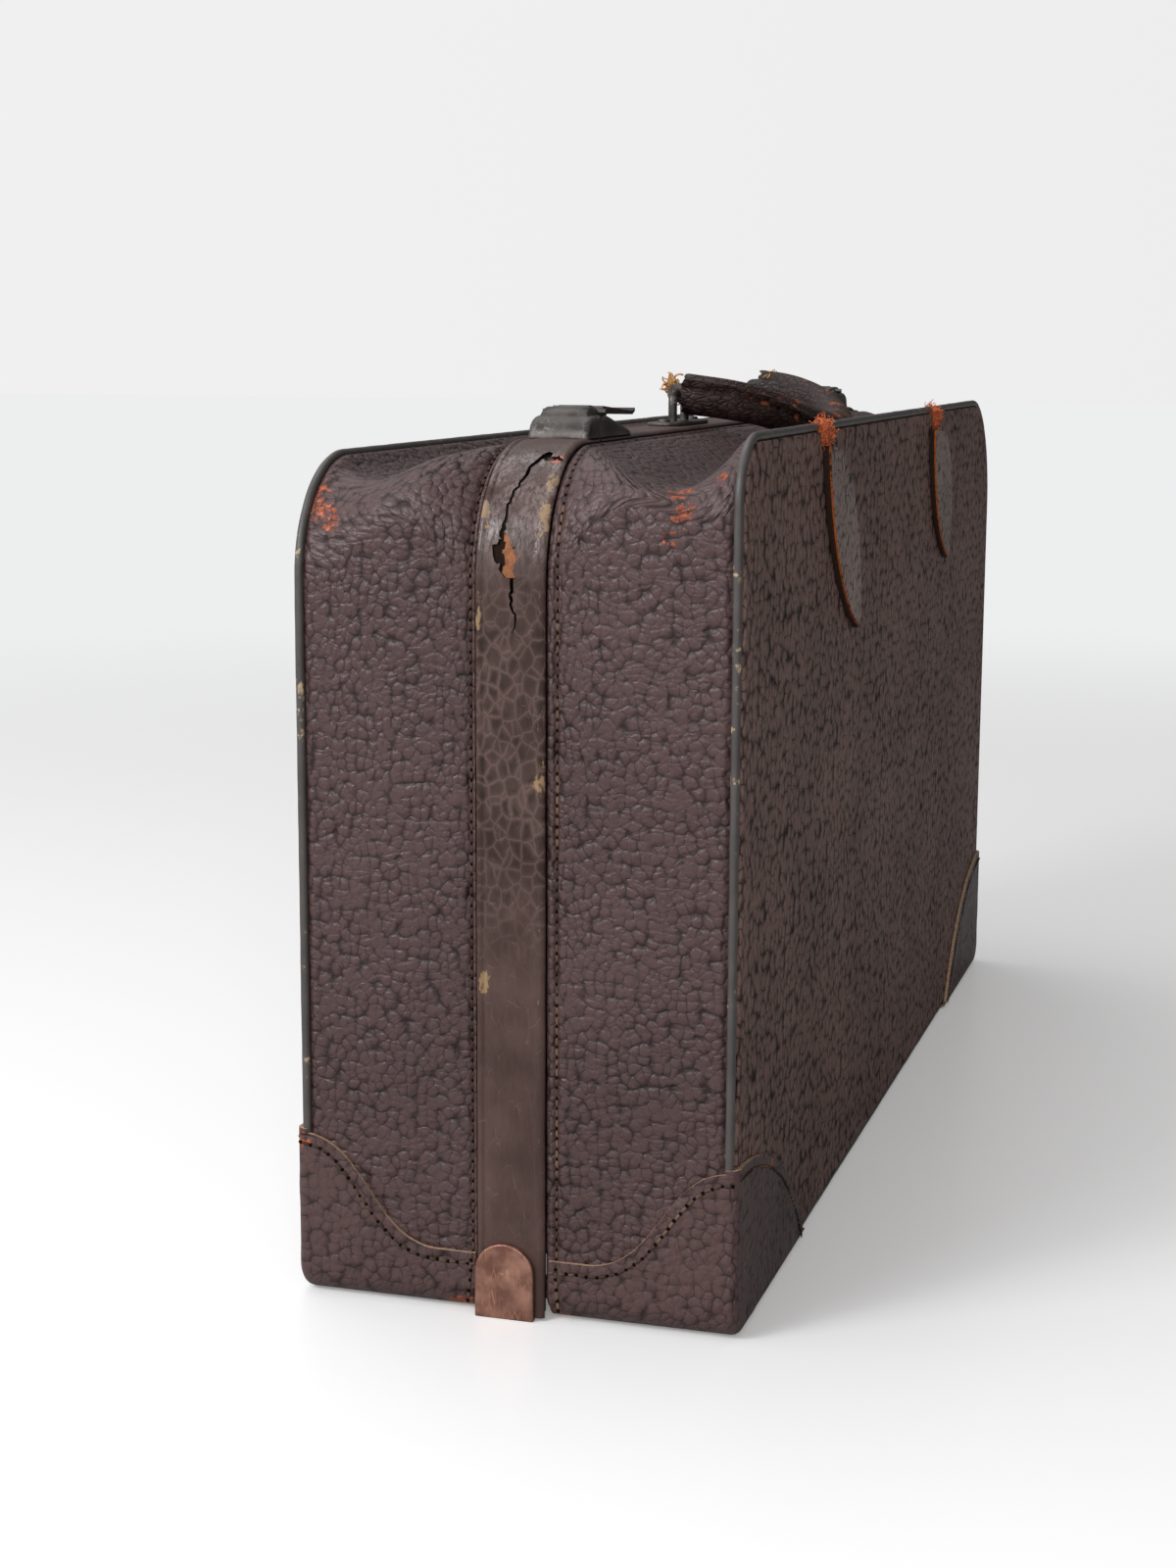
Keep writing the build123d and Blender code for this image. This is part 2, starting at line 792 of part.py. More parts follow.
def build_stub(name, across, down):
    """Padded leaf of leather left from a strap, sewn flat on the front panel."""
    start, left_bulge, tip, right_bulge, end = (
        (x, front_height - drop) for x, drop in zip(across, down)
    )
    with BuildPart() as stub:
        with BuildSketch(section_plane(-half_depth)):
            with BuildLine():
                ThreePointArc(start, left_bulge, tip)
                ThreePointArc(tip, right_bulge, end)
                Line(end, start)
            make_face()
        extrude(amount=stub_leather)
        fillet(stub.faces().sort_by(Axis.Y)[0].edges(), panel_leather / 2)
    save(stub, f"front_{name}")
    with BuildPart() as other:
        add(mirror(stub.part, about=Plane.XZ, mode=Mode.PRIVATE).translate((0, 0, -back_drop)))
    save(other, f"back_{name}")


def build_tack():
    """Nail head beside the left strap stub."""
    with BuildPart() as tack:
        with BuildSketch(section_plane(-half_depth)):
            with Locations((tack_across, front_height - tack_down)):
                Circle(tack_radius)
        extrude(amount=tack_head)
        fillet(tack.faces().sort_by(Axis.Y)[0].edges(), tack_head / 2)
    save(tack, "strap_tack")


os.makedirs("parts", exist_ok=True)
for half in halves:
    build_gusset(half)
    build_lining(half)
    build_base_board(half)
    build_panel(half)
    build_piping(half)
build_frames()
build_band()
build_hinge_pins()
build_hinge_plates()
build_patches()
build_catches()
build_brackets()
build_handle()
build_stub("left_stub", left_stub_across, left_stub_down)
build_stub("right_stub", right_stub_across, right_stub_down)
build_tack()
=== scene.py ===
from math import asin, cos, pi, radians, sin

import bmesh
import bpy
import numpy as np
from mathutils import Matrix, Vector, noise


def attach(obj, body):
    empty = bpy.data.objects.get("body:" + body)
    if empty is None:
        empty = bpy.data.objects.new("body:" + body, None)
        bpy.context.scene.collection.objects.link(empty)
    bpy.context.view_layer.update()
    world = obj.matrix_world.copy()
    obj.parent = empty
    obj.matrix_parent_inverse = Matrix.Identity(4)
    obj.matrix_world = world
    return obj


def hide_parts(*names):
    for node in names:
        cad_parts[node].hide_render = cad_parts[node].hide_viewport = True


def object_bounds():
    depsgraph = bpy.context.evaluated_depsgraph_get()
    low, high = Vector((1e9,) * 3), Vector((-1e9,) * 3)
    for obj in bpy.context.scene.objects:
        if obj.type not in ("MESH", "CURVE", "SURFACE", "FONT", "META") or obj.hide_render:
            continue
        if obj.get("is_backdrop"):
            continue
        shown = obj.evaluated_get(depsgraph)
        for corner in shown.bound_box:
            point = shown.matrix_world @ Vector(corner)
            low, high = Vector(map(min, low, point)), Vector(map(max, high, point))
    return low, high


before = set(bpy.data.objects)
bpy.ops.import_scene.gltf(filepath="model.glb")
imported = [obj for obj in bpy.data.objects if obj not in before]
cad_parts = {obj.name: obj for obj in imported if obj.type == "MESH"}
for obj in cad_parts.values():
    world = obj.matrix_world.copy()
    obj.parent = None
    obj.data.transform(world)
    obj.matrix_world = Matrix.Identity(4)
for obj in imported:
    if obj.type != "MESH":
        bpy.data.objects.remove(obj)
cad_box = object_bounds()

# Gussets: each half of the bag is one long strip of thick pebbled hide that
# runs over the top, down the ends and under the base. It is sewn to the steel
# frame's leather band along the parting line and to the panel's piping.
mm = 0.001
bag_length = 608
base_lift, base_radius = 1.6, 10
seam_height, seam_corner = 323.5, 48
gusset_thickness = 3
gusset_edge = 80.8
halves = {
    "back": {"side": 1, "seam": 13.7, "height": 319.5, "sag": 12, "left": 45, "right": 45},
    "front": {"side": -1, "seam": 13.1, "height": 329, "sag": 16, "left": 25, "right": 60},
}


class Wire:
    """A value that varies over a surface; arithmetic on it adds Math nodes."""

    def __init__(self, tree, socket=None):
        self.tree, self.socket = tree, socket

    def node(self, kind, inputs=(), out=0, **settings):
        """Adds a node, sets it up, feeds its sockets and gives one of its outputs."""
        made = self.tree.nodes.new(kind)
        for name, value in settings.items():
            setattr(made, name, value)
        pairs = inputs.items() if isinstance(inputs, dict) else enumerate(inputs)
        for key, value in pairs:
            if isinstance(value, Wire):
                self.tree.links.new(value.socket, made.inputs[key])
            else:
                made.inputs[key].default_value = value
        return Wire(self.tree, made.outputs[out])

    def maths(self, operation, *others):
        return self.node("ShaderNodeMath", (self, *others), operation=operation)

    def __add__(self, other):
        return self.maths("ADD", other)

    def __sub__(self, other):
        return self.maths("SUBTRACT", other)

    def __rsub__(self, other):
        return self.node("ShaderNodeMath", (other, self), operation="SUBTRACT")

    def __mul__(self, other):
        return self.maths("MULTIPLY", other)

    def __truediv__(self, other):
        return self.maths("DIVIDE", other)

    def __pow__(self, other):
        return self.maths("POWER", other)

    __radd__, __rmul__ = __add__, __mul__

    def ramp(self, low, high, start=0.0, end=1.0):
        """Goes smoothly from start to end while the value goes from low to high."""
        inputs = {"Value": self, "From Min": low, "From Max": high, "To Min": start, "To Max": end}
        return self.node("ShaderNodeMapRange", inputs, interpolation_type="SMOOTHSTEP")

    def blend(self, first, second):
        """Colours mixed by this value: the first at 0, the second at 1."""
        first, second = (c if isinstance(c, Wire) else (*c, 1) for c in (first, second))
        return self.node("ShaderNodeMix", {0: self, 6: first, 7: second}, 2, data_type="RGBA")

    def cloud(self, size, detail=2.0, roughness=0.5, out=0):
        """Soft noise whose lumps are about this size in mm; this is the place it is read at."""
        inputs = {"Vector": self, "Scale": 1000 / size, "Detail": detail, "Roughness": roughness}
        return self.node("ShaderNodeTexNoise", inputs, out)

    def cells(self, size, feature="DISTANCE_TO_EDGE", randomness=1.0, flat=False):
        """Cells of about this size in mm; flat ones lie in the place's first two coordinates."""
        inputs = {"Vector": self, "Scale": 1000 / size, "Randomness": randomness}
        settings = {"feature": feature, "voronoi_dimensions": "2D" if flat else "3D"}
        if feature == "SMOOTH_F1":
            inputs["Smoothness"] = 0.3
        return self.node("ShaderNodeTexVoronoi", inputs, **settings)

    def mapped(self, scale=(1, 1, 1), turn=(0, 0, 0), move=(0, 0, 0)):
        """The place stretched, turned in degrees and moved in mm."""
        inputs = {"Vector": self, "Location": [mm * v for v in move], "Scale": scale}
        inputs["Rotation"] = [radians(v) for v in turn]
        return self.node("ShaderNodeMapping", inputs)

    def stirred(self, size, amount):
        """The place pushed about by noise, by up to this amount in mm."""
        inputs = (self.cloud(size, out=1), (0.5, 0.5, 0.5))
        centred = self.node("ShaderNodeVectorMath", inputs, operation="SUBTRACT")
        inputs = {0: centred, "Scale": 2 * amount * mm}
        moved = self.node("ShaderNodeVectorMath", inputs, operation="SCALE")
        return self.node("ShaderNodeVectorMath", (self, moved), operation="ADD")

    def near(self, spots, squeeze=1):
        """Highest at these spots (x, y, z, reach in mm), 0 beyond; squeezed ones are upright."""
        total, place = None, self.mapped((1, 1, squeeze))
        for x, y, z, reach in spots:
            inputs = (place, (x * mm, y * mm, z * squeeze * mm))
            apart = self.node("ShaderNodeVectorMath", inputs, "Value", operation="DISTANCE")
            share = (1 - apart / (reach * mm)).maths("MAXIMUM", 0.0)
            total = share if total is None else total.maths("MAXIMUM", share)
        return total

    def axis(self, index):
        """One coordinate of the place, in metres."""
        return self.node("ShaderNodeSeparateXYZ", (self,), index)


def new_finish(name, **constants):
    """A material with its Principled shader, and the place on the surface to build on."""
    material = bpy.data.materials.new(name)
    material.use_nodes = True
    tree = material.node_tree
    shader = tree.nodes["Principled BSDF"]
    for key, value in constants.items():
        shader.inputs[key.replace("_", " ")].default_value = value
    place = Wire(tree).node("ShaderNodeTexCoord", out="Object")
    return material, shader, place


def feed(shader, **wires):
    """Links finished wires to the shader's sockets."""
    for key, wire in wires.items():
        wire.tree.links.new(wire.socket, shader.inputs[key.replace("_", " ")])


def raised(height, depth):
    """A normal from a height of 0 to 1 that stands this many mm high."""
    inputs = {"Height": height, "Distance": depth * mm, "Strength": 1.0}
    return height.node("ShaderNodeBump", inputs)


def hide_finish(name, lay, dark, light, sheen, gloss, cell, depth, contrast, rubs=()):
    """Pebbled hide: soft round pebbles, some run together, with folds, pores and rubs, and painted shade
    darkening the creases.
    """
    material, shader, place = new_finish(name, IOR=1.45, Specular_IOR_Level=gloss)
    stirred = lay(place).stirred(cell * 3, cell * 0.5).stirred(cell, cell * 0.2)
    apart = stirred.cells(cell, randomness=0.85, flat=True)
    parted = place.cloud(cell * 1.5, 2.0).ramp(0.32, 0.56, 0.25, 1.0)
    domes = (stirred.cells(cell, "SMOOTH_F1", 0.85, flat=True) * 1.25) ** 2
    pebbles = 1 - parted * domes
    creases = 1 - parted * apart.ramp(0.0, 0.07, 1.0, 0.0)
    small = stirred.mapped(move=(31, 7, 12)).cells(cell * 0.6, flat=True).ramp(0.0, 0.35)
    groups = stirred.mapped((0.8, 0.45, 1.0), (0, 0, 24), (3, 9, 4)).cells(cell, flat=True)
    folds = groups.ramp(0.0, 0.2)
    field = place.mapped((0.4, 0.4, 1.0), (0, -34, 0)).stirred(9, 3).cloud(cell * 4, 2.0) - 0.5
    line = field.maths("ABSOLUTE").ramp(0.0, 0.025)
    fine = stirred.cells(cell * 0.18, "F1", flat=True).ramp(0.0, 0.8)
    swell = place.cloud(cell * 2.2, 2.0)
    relief = (
        0.5 * pebbles + 0.03 * creases + 0.04 * small + 0.1 * folds
        + 0.05 * line + 0.2 * swell + 0.02 * fine + 0.05 * place.cloud(0.9, 3.0, 0.6)
    )
    # Painted shade: the colour darkens into the creases between pebbles and stays light on the pebbles'
    # crowns.
    painted_crease_shade = (0.5 * pebbles + 0.36 * creases + 0.08 * folds + 0.06 * line).ramp(1.0 - contrast, 1.0)
    patchy = place.cloud(70, 3.0).ramp(0.3, 0.7)
    colour = (0.8 * painted_crease_shade + 0.2 * patchy).blend(dark, light)
    dusty = (place.cloud(5, 4.0, 0.65).ramp(0.58, 0.78) * painted_crease_shade) * 0.14
    colour = dusty.blend(colour, [0.5 * v + 0.07 for v in light])
    if rubs:
        reach = place.near(rubs).ramp(0.0, 0.6)
        grit = place.stirred(4, 1.2).cloud(2.2, 5.0, 0.68)
        bare = (grit + 0.36 * reach + 0.12 * painted_crease_shade).ramp(0.9, 0.97)
        burnt = place.cloud(2.4, 3.0).ramp(0.3, 0.7).blend((0.15, 0.028, 0.011), (0.44, 0.1, 0.03))
        colour = bare.blend(colour, burnt)
        relief = relief - 0.05 * bare
    rough = sheen + 0.14 * place.cloud(30, 3.0) - 0.08 * painted_crease_shade
    feed(shader, Base_Color=colour, Roughness=rough, Normal=raised(relief, depth))
    return material


stretches = (160, 8, 110, 32, 210, 40, 130, 8)
starts = np.cumsum((0, *stretches))
over_bag = slice(starts[2], starts[7])


def outline(top, left, right, inset=0.0):
    """x and z round the bag, set in all round, from the near end of the base, and the way out.

    Its stretches are the base, a corner, the far end, a corner, the top, a corner, the near end, a corner.
    """
    half, bottom, top = bag_length / 2 - inset, base_lift + inset, top - inset
    left, right, base = (max(radius - inset, 1) for radius in (left, right, base_radius))
    corners = np.array([
        (half - base, bottom + base), (half - right, top - right),
        (left - half, top - left), (base - half, bottom + base),
    ])
    radii = (base, right, left, base)
    places, ways = [], []
    for k in range(4):
        turn = pi / 2 * (k - 1)
        way = np.round((cos(turn), sin(turn)))
        start, end = (corners[j] + radii[j] * way for j in (k - 1, k))
        share = np.linspace(0, 1, stretches[2 * k], endpoint=False)[:, None]
        angles = turn + np.linspace(0, pi / 2, stretches[2 * k + 1], endpoint=False)
        bent = np.stack((np.cos(angles), np.sin(angles)), 1)
        places += [start + (end - start) * share, corners[k] + radii[k] * bent]
        ways += [np.tile(way, (len(share), 1)), bent]
    return np.concatenate(places), np.concatenate(ways)


def smooth(value, low, high):
    """0 below low, 1 above high and smooth between."""
    share = np.clip((value - low) / (high - low), 0, 1)
    return share * share * (3 - 2 * share)


def hump(value, centre, width):
    """1 at the centre and falling smoothly to 0 on both sides of it."""
    return np.exp(-(((value - centre) / width) ** 2))


def lumps(points, size, seed=0.0):
    """Smooth noise from -1 to 1 at points in mm, with lumps of about this size."""
    shift = Vector((seed, seed * 1.7, 3.1))
    return np.array([noise.noise(Vector(p) / size + shift) for p in points])


def grid_faces(rows, columns, closed=True, first=0):
    """Quads between rows of points, each row closed into a ring or left open."""
    faces = []
    for i in range(rows - 1):
        for j in range(columns if closed else columns - 1):
            a = first + i * columns
            k = (j + 1) % columns
            faces.append((a + j, a + k, a + columns + k, a + columns + j))
    return faces


def tube_faces(rows, columns, first=0):
    """The faces of a tube of rings, with a cap on both ends."""
    last = first + (rows - 1) * columns
    caps = [tuple(range(start, start + columns)) for start in (first, last)]
    return grid_faces(rows, columns, first=first) + caps


def in_scene(name, data):
    """A new object with this data, linked to the scene."""
    made = bpy.data.objects.new(name, data)
    bpy.context.scene.collection.objects.link(made)
    return made


def placed(name, mesh, finishes, body, replaces, crisp):
    """The mesh as a piece riding on its body, in place of CAD nodes."""
    mesh.name = name
    mesh.shade_smooth()
    mesh.set_sharp_from_angle(angle=radians(crisp))
    for finish in finishes:
        mesh.materials.append(finish)
    made = in_scene(name, mesh)
    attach(made, body)
    if replaces:
        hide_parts(*replaces)
    return made


def make_piece(name, points, faces, finishes, body, replaces=(), crisp=50, laid=None):
    """A piece from points in mm, with its doubles merged and its faces turned outward."""
    mesh = bpy.data.meshes.new(name)
    mesh.from_pydata((np.asarray(points, float) * mm).tolist(), [], faces)
    if laid is not None:
        attribute = mesh.attributes.new("laid_flat", "FLOAT_VECTOR", "POINT")
        attribute.data.foreach_set("vector", (laid * mm).ravel())
    edit = bmesh.new()
    edit.from_mesh(mesh)
    bmesh.ops.remove_doubles(edit, verts=edit.verts, dist=1e-6)
    bmesh.ops.recalc_face_normals(edit, faces=edit.faces)
    edit.to_mesh(mesh)
    edit.free()
    return placed(name, mesh, finishes, body, replaces, crisp)


def drawn_skin(half, inset, depths):
    """Rows of the gusset's skin at these depths from the parting seam, set in from outside."""
    skin, ways = [], []
    for depth in depths:
        u = depth / (gusset_edge - half["seam"])
        rise = (half["height"] - seam_height) * u**3 - half["sag"] * sin(pi * u**1.7)
        pinch = sin(pi * u) ** 1.2
        left = seam_corner + (half["left"] - seam_corner) * u - 30 * pinch
        right = seam_corner + (half["right"] - seam_corner) * u - 20 * pinch
        flat, way = outline(seam_height + rise, left, right, inset)
        skin.append(np.insert(flat, 1, half["side"] * (half["seam"] + depth), axis=1))
        ways.append(np.insert(way, 1, 0, axis=1))
    return np.array(skin), np.array(ways)


def gusset_relief(half, skin, depths):
    """How far the soft hide stands off its drawn shape: seams, swell, folds and waves."""
    full = gusset_edge - half["seam"]
    depth = np.array(depths)[:, None]
    x, z = skin[:, :, 0], skin[:, :, 2]
    row = {1: 2.2, -1: 3.9}[half["side"]]
    edge = full - depth
    seam = 0.35 * hump(depth, row - 1.7, 0.7) - 0.95 * hump(depth, row, 0.9) - 0.5 * hump(depth, 0, 0.5)
    seam = seam + 0.35 * hump(depth, 7.5, 3.0) - 1.0 * hump(edge, 0, 0.9) + 0.3 * hump(edge, 3.2, 1.8)
    above = smooth(z, 66, 105)
    lifted = above * (1 - smooth(z, seam_height - 30, seam_height - 12))
    swell = 1.5 * np.sin(pi * depth / full) * lifted * smooth(np.abs(x), 290, 303)
    points = skin.reshape(-1, 3)
    waves = lumps(points, 42, 1.3) * 0.4 + lumps(points, 19, 5.7) * 0.2
    bulge = np.sin(pi * np.clip(depth / full, 0.04, 0.96))
    waves = waves.reshape(z.shape) * (0.25 + 0.75 * above) * bulge
    near_top = smooth(z, seam_height - 26, seam_height - 8) * (1 - smooth(np.abs(x), 301, 304.5))
    ridge = 1.2 * hump(np.abs(x), 286, 11) * near_top * np.sin(pi * depth / full) ** 0.8
    stretch = lumps(points * np.array([0.35, 1, 1]), 15, 9.2).reshape(z.shape)
    folds = 0.9 * stretch * smooth(z, seam_height - 26, seam_height - 12)
    return seam + swell + waves + ridge + folds * np.sin(pi * depth / full)


base_laid, far_laid, top_laid = 1546, 1226, 613


def run_along(skin):
    """How far along the strip each point lies before it is bent round, in mm."""
    x, z = skin[:, :, 0], skin[:, :, 2]
    base, far, top = (slice(starts[k], starts[k + 1] + 1) for k in (0, 2, 4))
    places = -z
    places[:, base] = x[:, base] - base_laid
    places[:, far] = z[:, far] - far_laid
    places[:, top] = -x[:, top] - top_laid
    known = np.r_[base, far, top, starts[6] : z.shape[1]]
    return np.array([np.interp(range(z.shape[1]), known, row[known]) for row in places])


hide_rubs = [
    (-299, 78, 303, 13), (-292, 80, 311, 11), (-303, 72, 297, 9), (-297, -60, 309, 9),
    (-301, -63, 301, 9), (-302, -58, 293, 7), (-290, -20, 319, 4), (-297, -76, 314, 5),
    (-304, 84, 170, 4), (304, 70, 306, 14), (300, -62, 309, 13),
]


def laid_flat(place):
    """The place on the strip before it was bent round: along it and across it."""
    return place.node("ShaderNodeAttribute", out="Vector", attribute_name="laid_flat")


pebbled_hide = hide_finish(
    "pebbled_hide", laid_flat, (0.02, 0.0086, 0.0078), (0.083, 0.0455, 0.0445),
    0.4, 0.43, 4.1, 1.7, 0.55, hide_rubs,
)
for name, half in halves.items():
    full = gusset_edge - half["seam"]
    depths = [0, 0.5, 1, 1.5, 2.1, 2.7, 3.3, 3.9, 4.5, 5.3, 6.3, 7.5, 9, 11]
    depths += list(np.linspace(13, full - 9, 22))
    depths += [full - e for e in (7, 5.4, 4, 3, 2.2, 1.5, 0.9, 0.4, 0)]
    skin, ways = drawn_skin(half, 0, depths)
    across = np.linalg.norm(np.diff(skin, axis=0, prepend=skin[:1]), axis=2).cumsum(axis=0)
    laid = np.stack((run_along(skin), half["side"] * across, 0 * across), 2)
    skin = skin + ways * gusset_relief(half, skin, depths)[:, :, None]
    inside, _ = drawn_skin(half, gusset_thickness, depths[::3] + depths[-1:])
    inside_laid = np.concatenate((laid[::3], laid[-1:]))
    skin = np.concatenate((skin, inside[::-1], skin[:1]))
    laid = np.concatenate((laid, inside_laid[::-1], laid[:1]))
    make_piece(
        f"{name}_gusset_hide", skin.reshape(-1, 3), grid_faces(*skin.shape[:2]), [pebbled_hide],
        f"{name}_shell", [f"{name}_gusset"], laid=laid.reshape(-1, 3),
    )

# Linings, boards and base boards: plain tan cloth glued inside each half over
# pressed fibre boards that keep the panels and the base flat.
lining_cloth, shader, place = new_finish("lining_cloth", IOR=1.45, Sheen_Weight=0.25)
turns = 2 * pi / (0.9 * mm)
threads = sum((0.17 * (place.axis(k) * turns).maths("SINE") for k in range(3)), 0.5)
stains = place.cloud(70, 4.0).ramp(0.4, 0.75)
cloth_colour = (0.6 * threads + 0.3 * place.cloud(2, 3.0)).blend((0.2, 0.13, 0.075), (0.4, 0.29, 0.18))
cloth_colour = (0.45 * stains).blend(cloth_colour, (0.14, 0.085, 0.045))
feed(
    shader, Base_Color=cloth_colour, Roughness=0.82 + 0.1 * place.cloud(20),
    Normal=raised(threads, 0.18),
)
for name, half in halves.items():
    full = gusset_edge - half["seam"]
    depths = list(np.linspace(0.6, full - 0.2, 24))
    outer, ways = drawn_skin(half, gusset_thickness + 0.15, depths)
    crumple = lumps(outer.reshape(-1, 3), 26, 4.4).reshape(outer.shape[:2])
    inner, _ = drawn_skin(half, gusset_thickness + 0.95, depths)
    inner = inner - ways * (0.12 + 0.12 * crumple)[:, :, None]
    wall_y = half["side"] * (gusset_edge - 0.35)

    def drawn_in(ring, y):
        """Smaller and smaller copies of a ring, over the panel's board."""
        copies = [centre + (ring - centre) * share for share in (0.9, 0.6, 0.3, 0.05)]
        for copy in copies:
            copy[:, 1] = y
        return copies

    centre = np.array([0, wall_y, 160])
    behind = drawn_in(outer[-1], wall_y + half["side"] * 0.2)
    closing = drawn_in(inner[-1], wall_y - half["side"] * 0.4)
    loop = behind[::-1] + list(outer[::-1]) + list(inner) + closing
    make_piece(
        f"{name}_lining_cloth", np.concatenate(loop), tube_faces(len(loop), outer.shape[1]),
        [lining_cloth], f"{name}_shell", [f"{name}_lining"],
    )


def fibrous(name, dark, light, grain, rough, depth=0.0, spread=(0.3, 0.7), lay=(), **constants):
    """Raw hide, board or cord: one noise gives its colour, its roughness and its relief."""
    material, shader, place = new_finish(name, IOR=1.45, **constants)
    fibres = place.mapped(*lay).cloud(*grain)
    tint = fibres.ramp(*spread) if spread else fibres
    feed(shader, Base_Color=tint.blend(dark, light), Roughness=rough[0] + rough[1] * fibres)
    if depth:
        feed(shader, Normal=raised(fibres, depth))
    return material


fibreboard = fibrous(
    "fibreboard", (0.2, 0.13, 0.08), (0.38, 0.27, 0.17), (1.6, 5.0, 0.7), (0.75, 0.2), 0.1,
    spread=None, lay=[(1, 1, 0.3)],
)
for node in ("back_board", "front_board", "back_base_board", "front_base_board"):
    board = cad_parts[node]
    board.data.materials.clear()
    board.data.materials.append(fibreboard)

# Panels: the two large faces, of the same pebbled hide glued over board and
# turned in behind the piping all round.


def upright(place):
    """The place on an upright face or round an upright corner: along it and up it."""
    along = place.axis(0) - place.axis(1)
    return place.node("ShaderNodeCombineXYZ", (along, place.axis(2)))


# The panels' copy of the hide has a far wider dark-to-light range: painted shade in its wrinkles and
# painted light on their crowns.
panel_hide = hide_finish(
    "panel_hide", upright, (0.012, 0.0058, 0.0048), (0.23, 0.141, 0.121),
    0.5, 0.14, 5.2, 4.6, 0.56,
)
panel_inset, panel_face = 2.4, 85
turned_edge = [
    (0, 1.6), (0, 0.95), (0.12, 0.62), (0.4, 0.3), (0.85, 0.1), (1.5, 0), (2.6, 0), (4.2, 0.12),
    (6.2, 0.2), (8.6, 0.15),
]
for name, half in halves.items():
    side, rings = half["side"], []
    for inset, down in turned_edge:
        flat, _ = outline(half["height"], half["left"], half["right"], panel_inset + inset)
        rings.append(np.insert(flat, 1, side * (panel_face - down), axis=1))
    level_ring = np.insert(flat, 1, side * panel_face, axis=1)
    centre = np.array([0, side * panel_face, half["height"] / 2])
    for share in np.linspace(0.95, 0.02, 34):
        ring = centre + (level_ring - centre) * share
        waves = lumps(ring, 75, 2.2) * 0.22 + lumps(ring, 33, 6.1) * 0.12
        ring[:, 1] = side * (panel_face - 0.26 + np.clip(waves, -0.25, 0.25))
        rings.append(ring)
    make_piece(
        f"{name}_panel_hide", np.concatenate(rings), tube_faces(len(rings), len(level_ring)),
        [panel_hide], f"{name}_shell", [f"{name}_panel"],
    )

# Piping: a bead of thin dark hide folded round a cord and sewn into the seam
# between gusset and panel. Its crown is worn pale in spots.
piping_radius, piping_inset, piping_sides = 1.7, 0.6, 14
piping_hide, shader, place = new_finish("piping_hide", IOR=1.5)
worn = (place.cloud(6, 5.0, 0.7) + 0.25 * place.cloud(60)).ramp(0.74, 0.81)
tint = place.cloud(12, 4.0).blend((0.03, 0.026, 0.024), (0.095, 0.086, 0.08))
feed(
    shader, Base_Color=worn.blend(tint, (0.42, 0.31, 0.19)),
    Roughness=0.34 + 0.2 * place.cloud(4, 4.0) + 0.25 * worn,
    Normal=raised(0.6 * place.cloud(1.4, 4.0, 0.65) + 0.4 * place.cloud(5), 0.16),
)
for name, half in halves.items():
    y = half["side"] * (gusset_edge + 0.1 + piping_radius)
    flat, way = outline(half["height"], half["left"], half["right"], piping_inset)
    over = [i for i in range(len(flat)) if flat[i, 1] >= 60]
    under = [i for i in range(stretches[0]) if abs(flat[i, 0]) <= 184]
    points, faces = [], []
    for path in (over, under):
        faces += tube_faces(len(path), piping_sides, len(points))
        for i in path:
            thick = piping_radius + 0.12 * noise.noise(Vector((flat[i, 0] / 9, y, flat[i, 1] / 9)))
            for k in range(piping_sides):
                angle = 2 * pi * k / piping_sides
                x, z = flat[i] + way[i] * thick * cos(angle)
                points.append((x, y + thick * sin(angle), z))
    make_piece(
        f"{name}_piping_bead", points, faces, [piping_hide], f"{name}_shell",
        [f"{name}_piping"],
    )

# Corner patches: thick pieces of the same hide over the four lower corners,
# each with a raw ogee edge, sewn on with one row of brown thread.


def cad_shape(node):
    """A copy of a CAD node's mesh with its doubles merged and its flat faces whole."""
    shape = bmesh.new()
    shape.from_mesh(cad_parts[node].data)
    bmesh.ops.remove_doubles(shape, verts=shape.verts, dist=2e-6)
    bmesh.ops.dissolve_limit(
        shape, angle_limit=radians(0.8), verts=shape.verts, edges=shape.edges
    )
    return shape


def diced(shape, step):
    """Cuts a shape's faces along planes this many mm apart, so that they can bend."""
    for axis in range(3):
        places = [v.co[axis] for v in shape.verts]
        low, high = min(places), max(places)
        for place in np.arange(low + 0.5 * step * mm, high, step * mm):
            spot, way = Vector((0, 0, 0)), Vector((0, 0, 0))
            spot[axis], way[axis] = place, 1
            bmesh.ops.bisect_plane(
                shape, geom=shape.verts[:] + shape.edges[:] + shape.faces[:],
                plane_co=spot, plane_no=way, dist=1e-7,
            )


def as_mesh(shape):
    """An edited shape as a mesh of its own."""
    mesh = bpy.data.meshes.new("mesh")
    shape.to_mesh(mesh)
    shape.free()
    return mesh


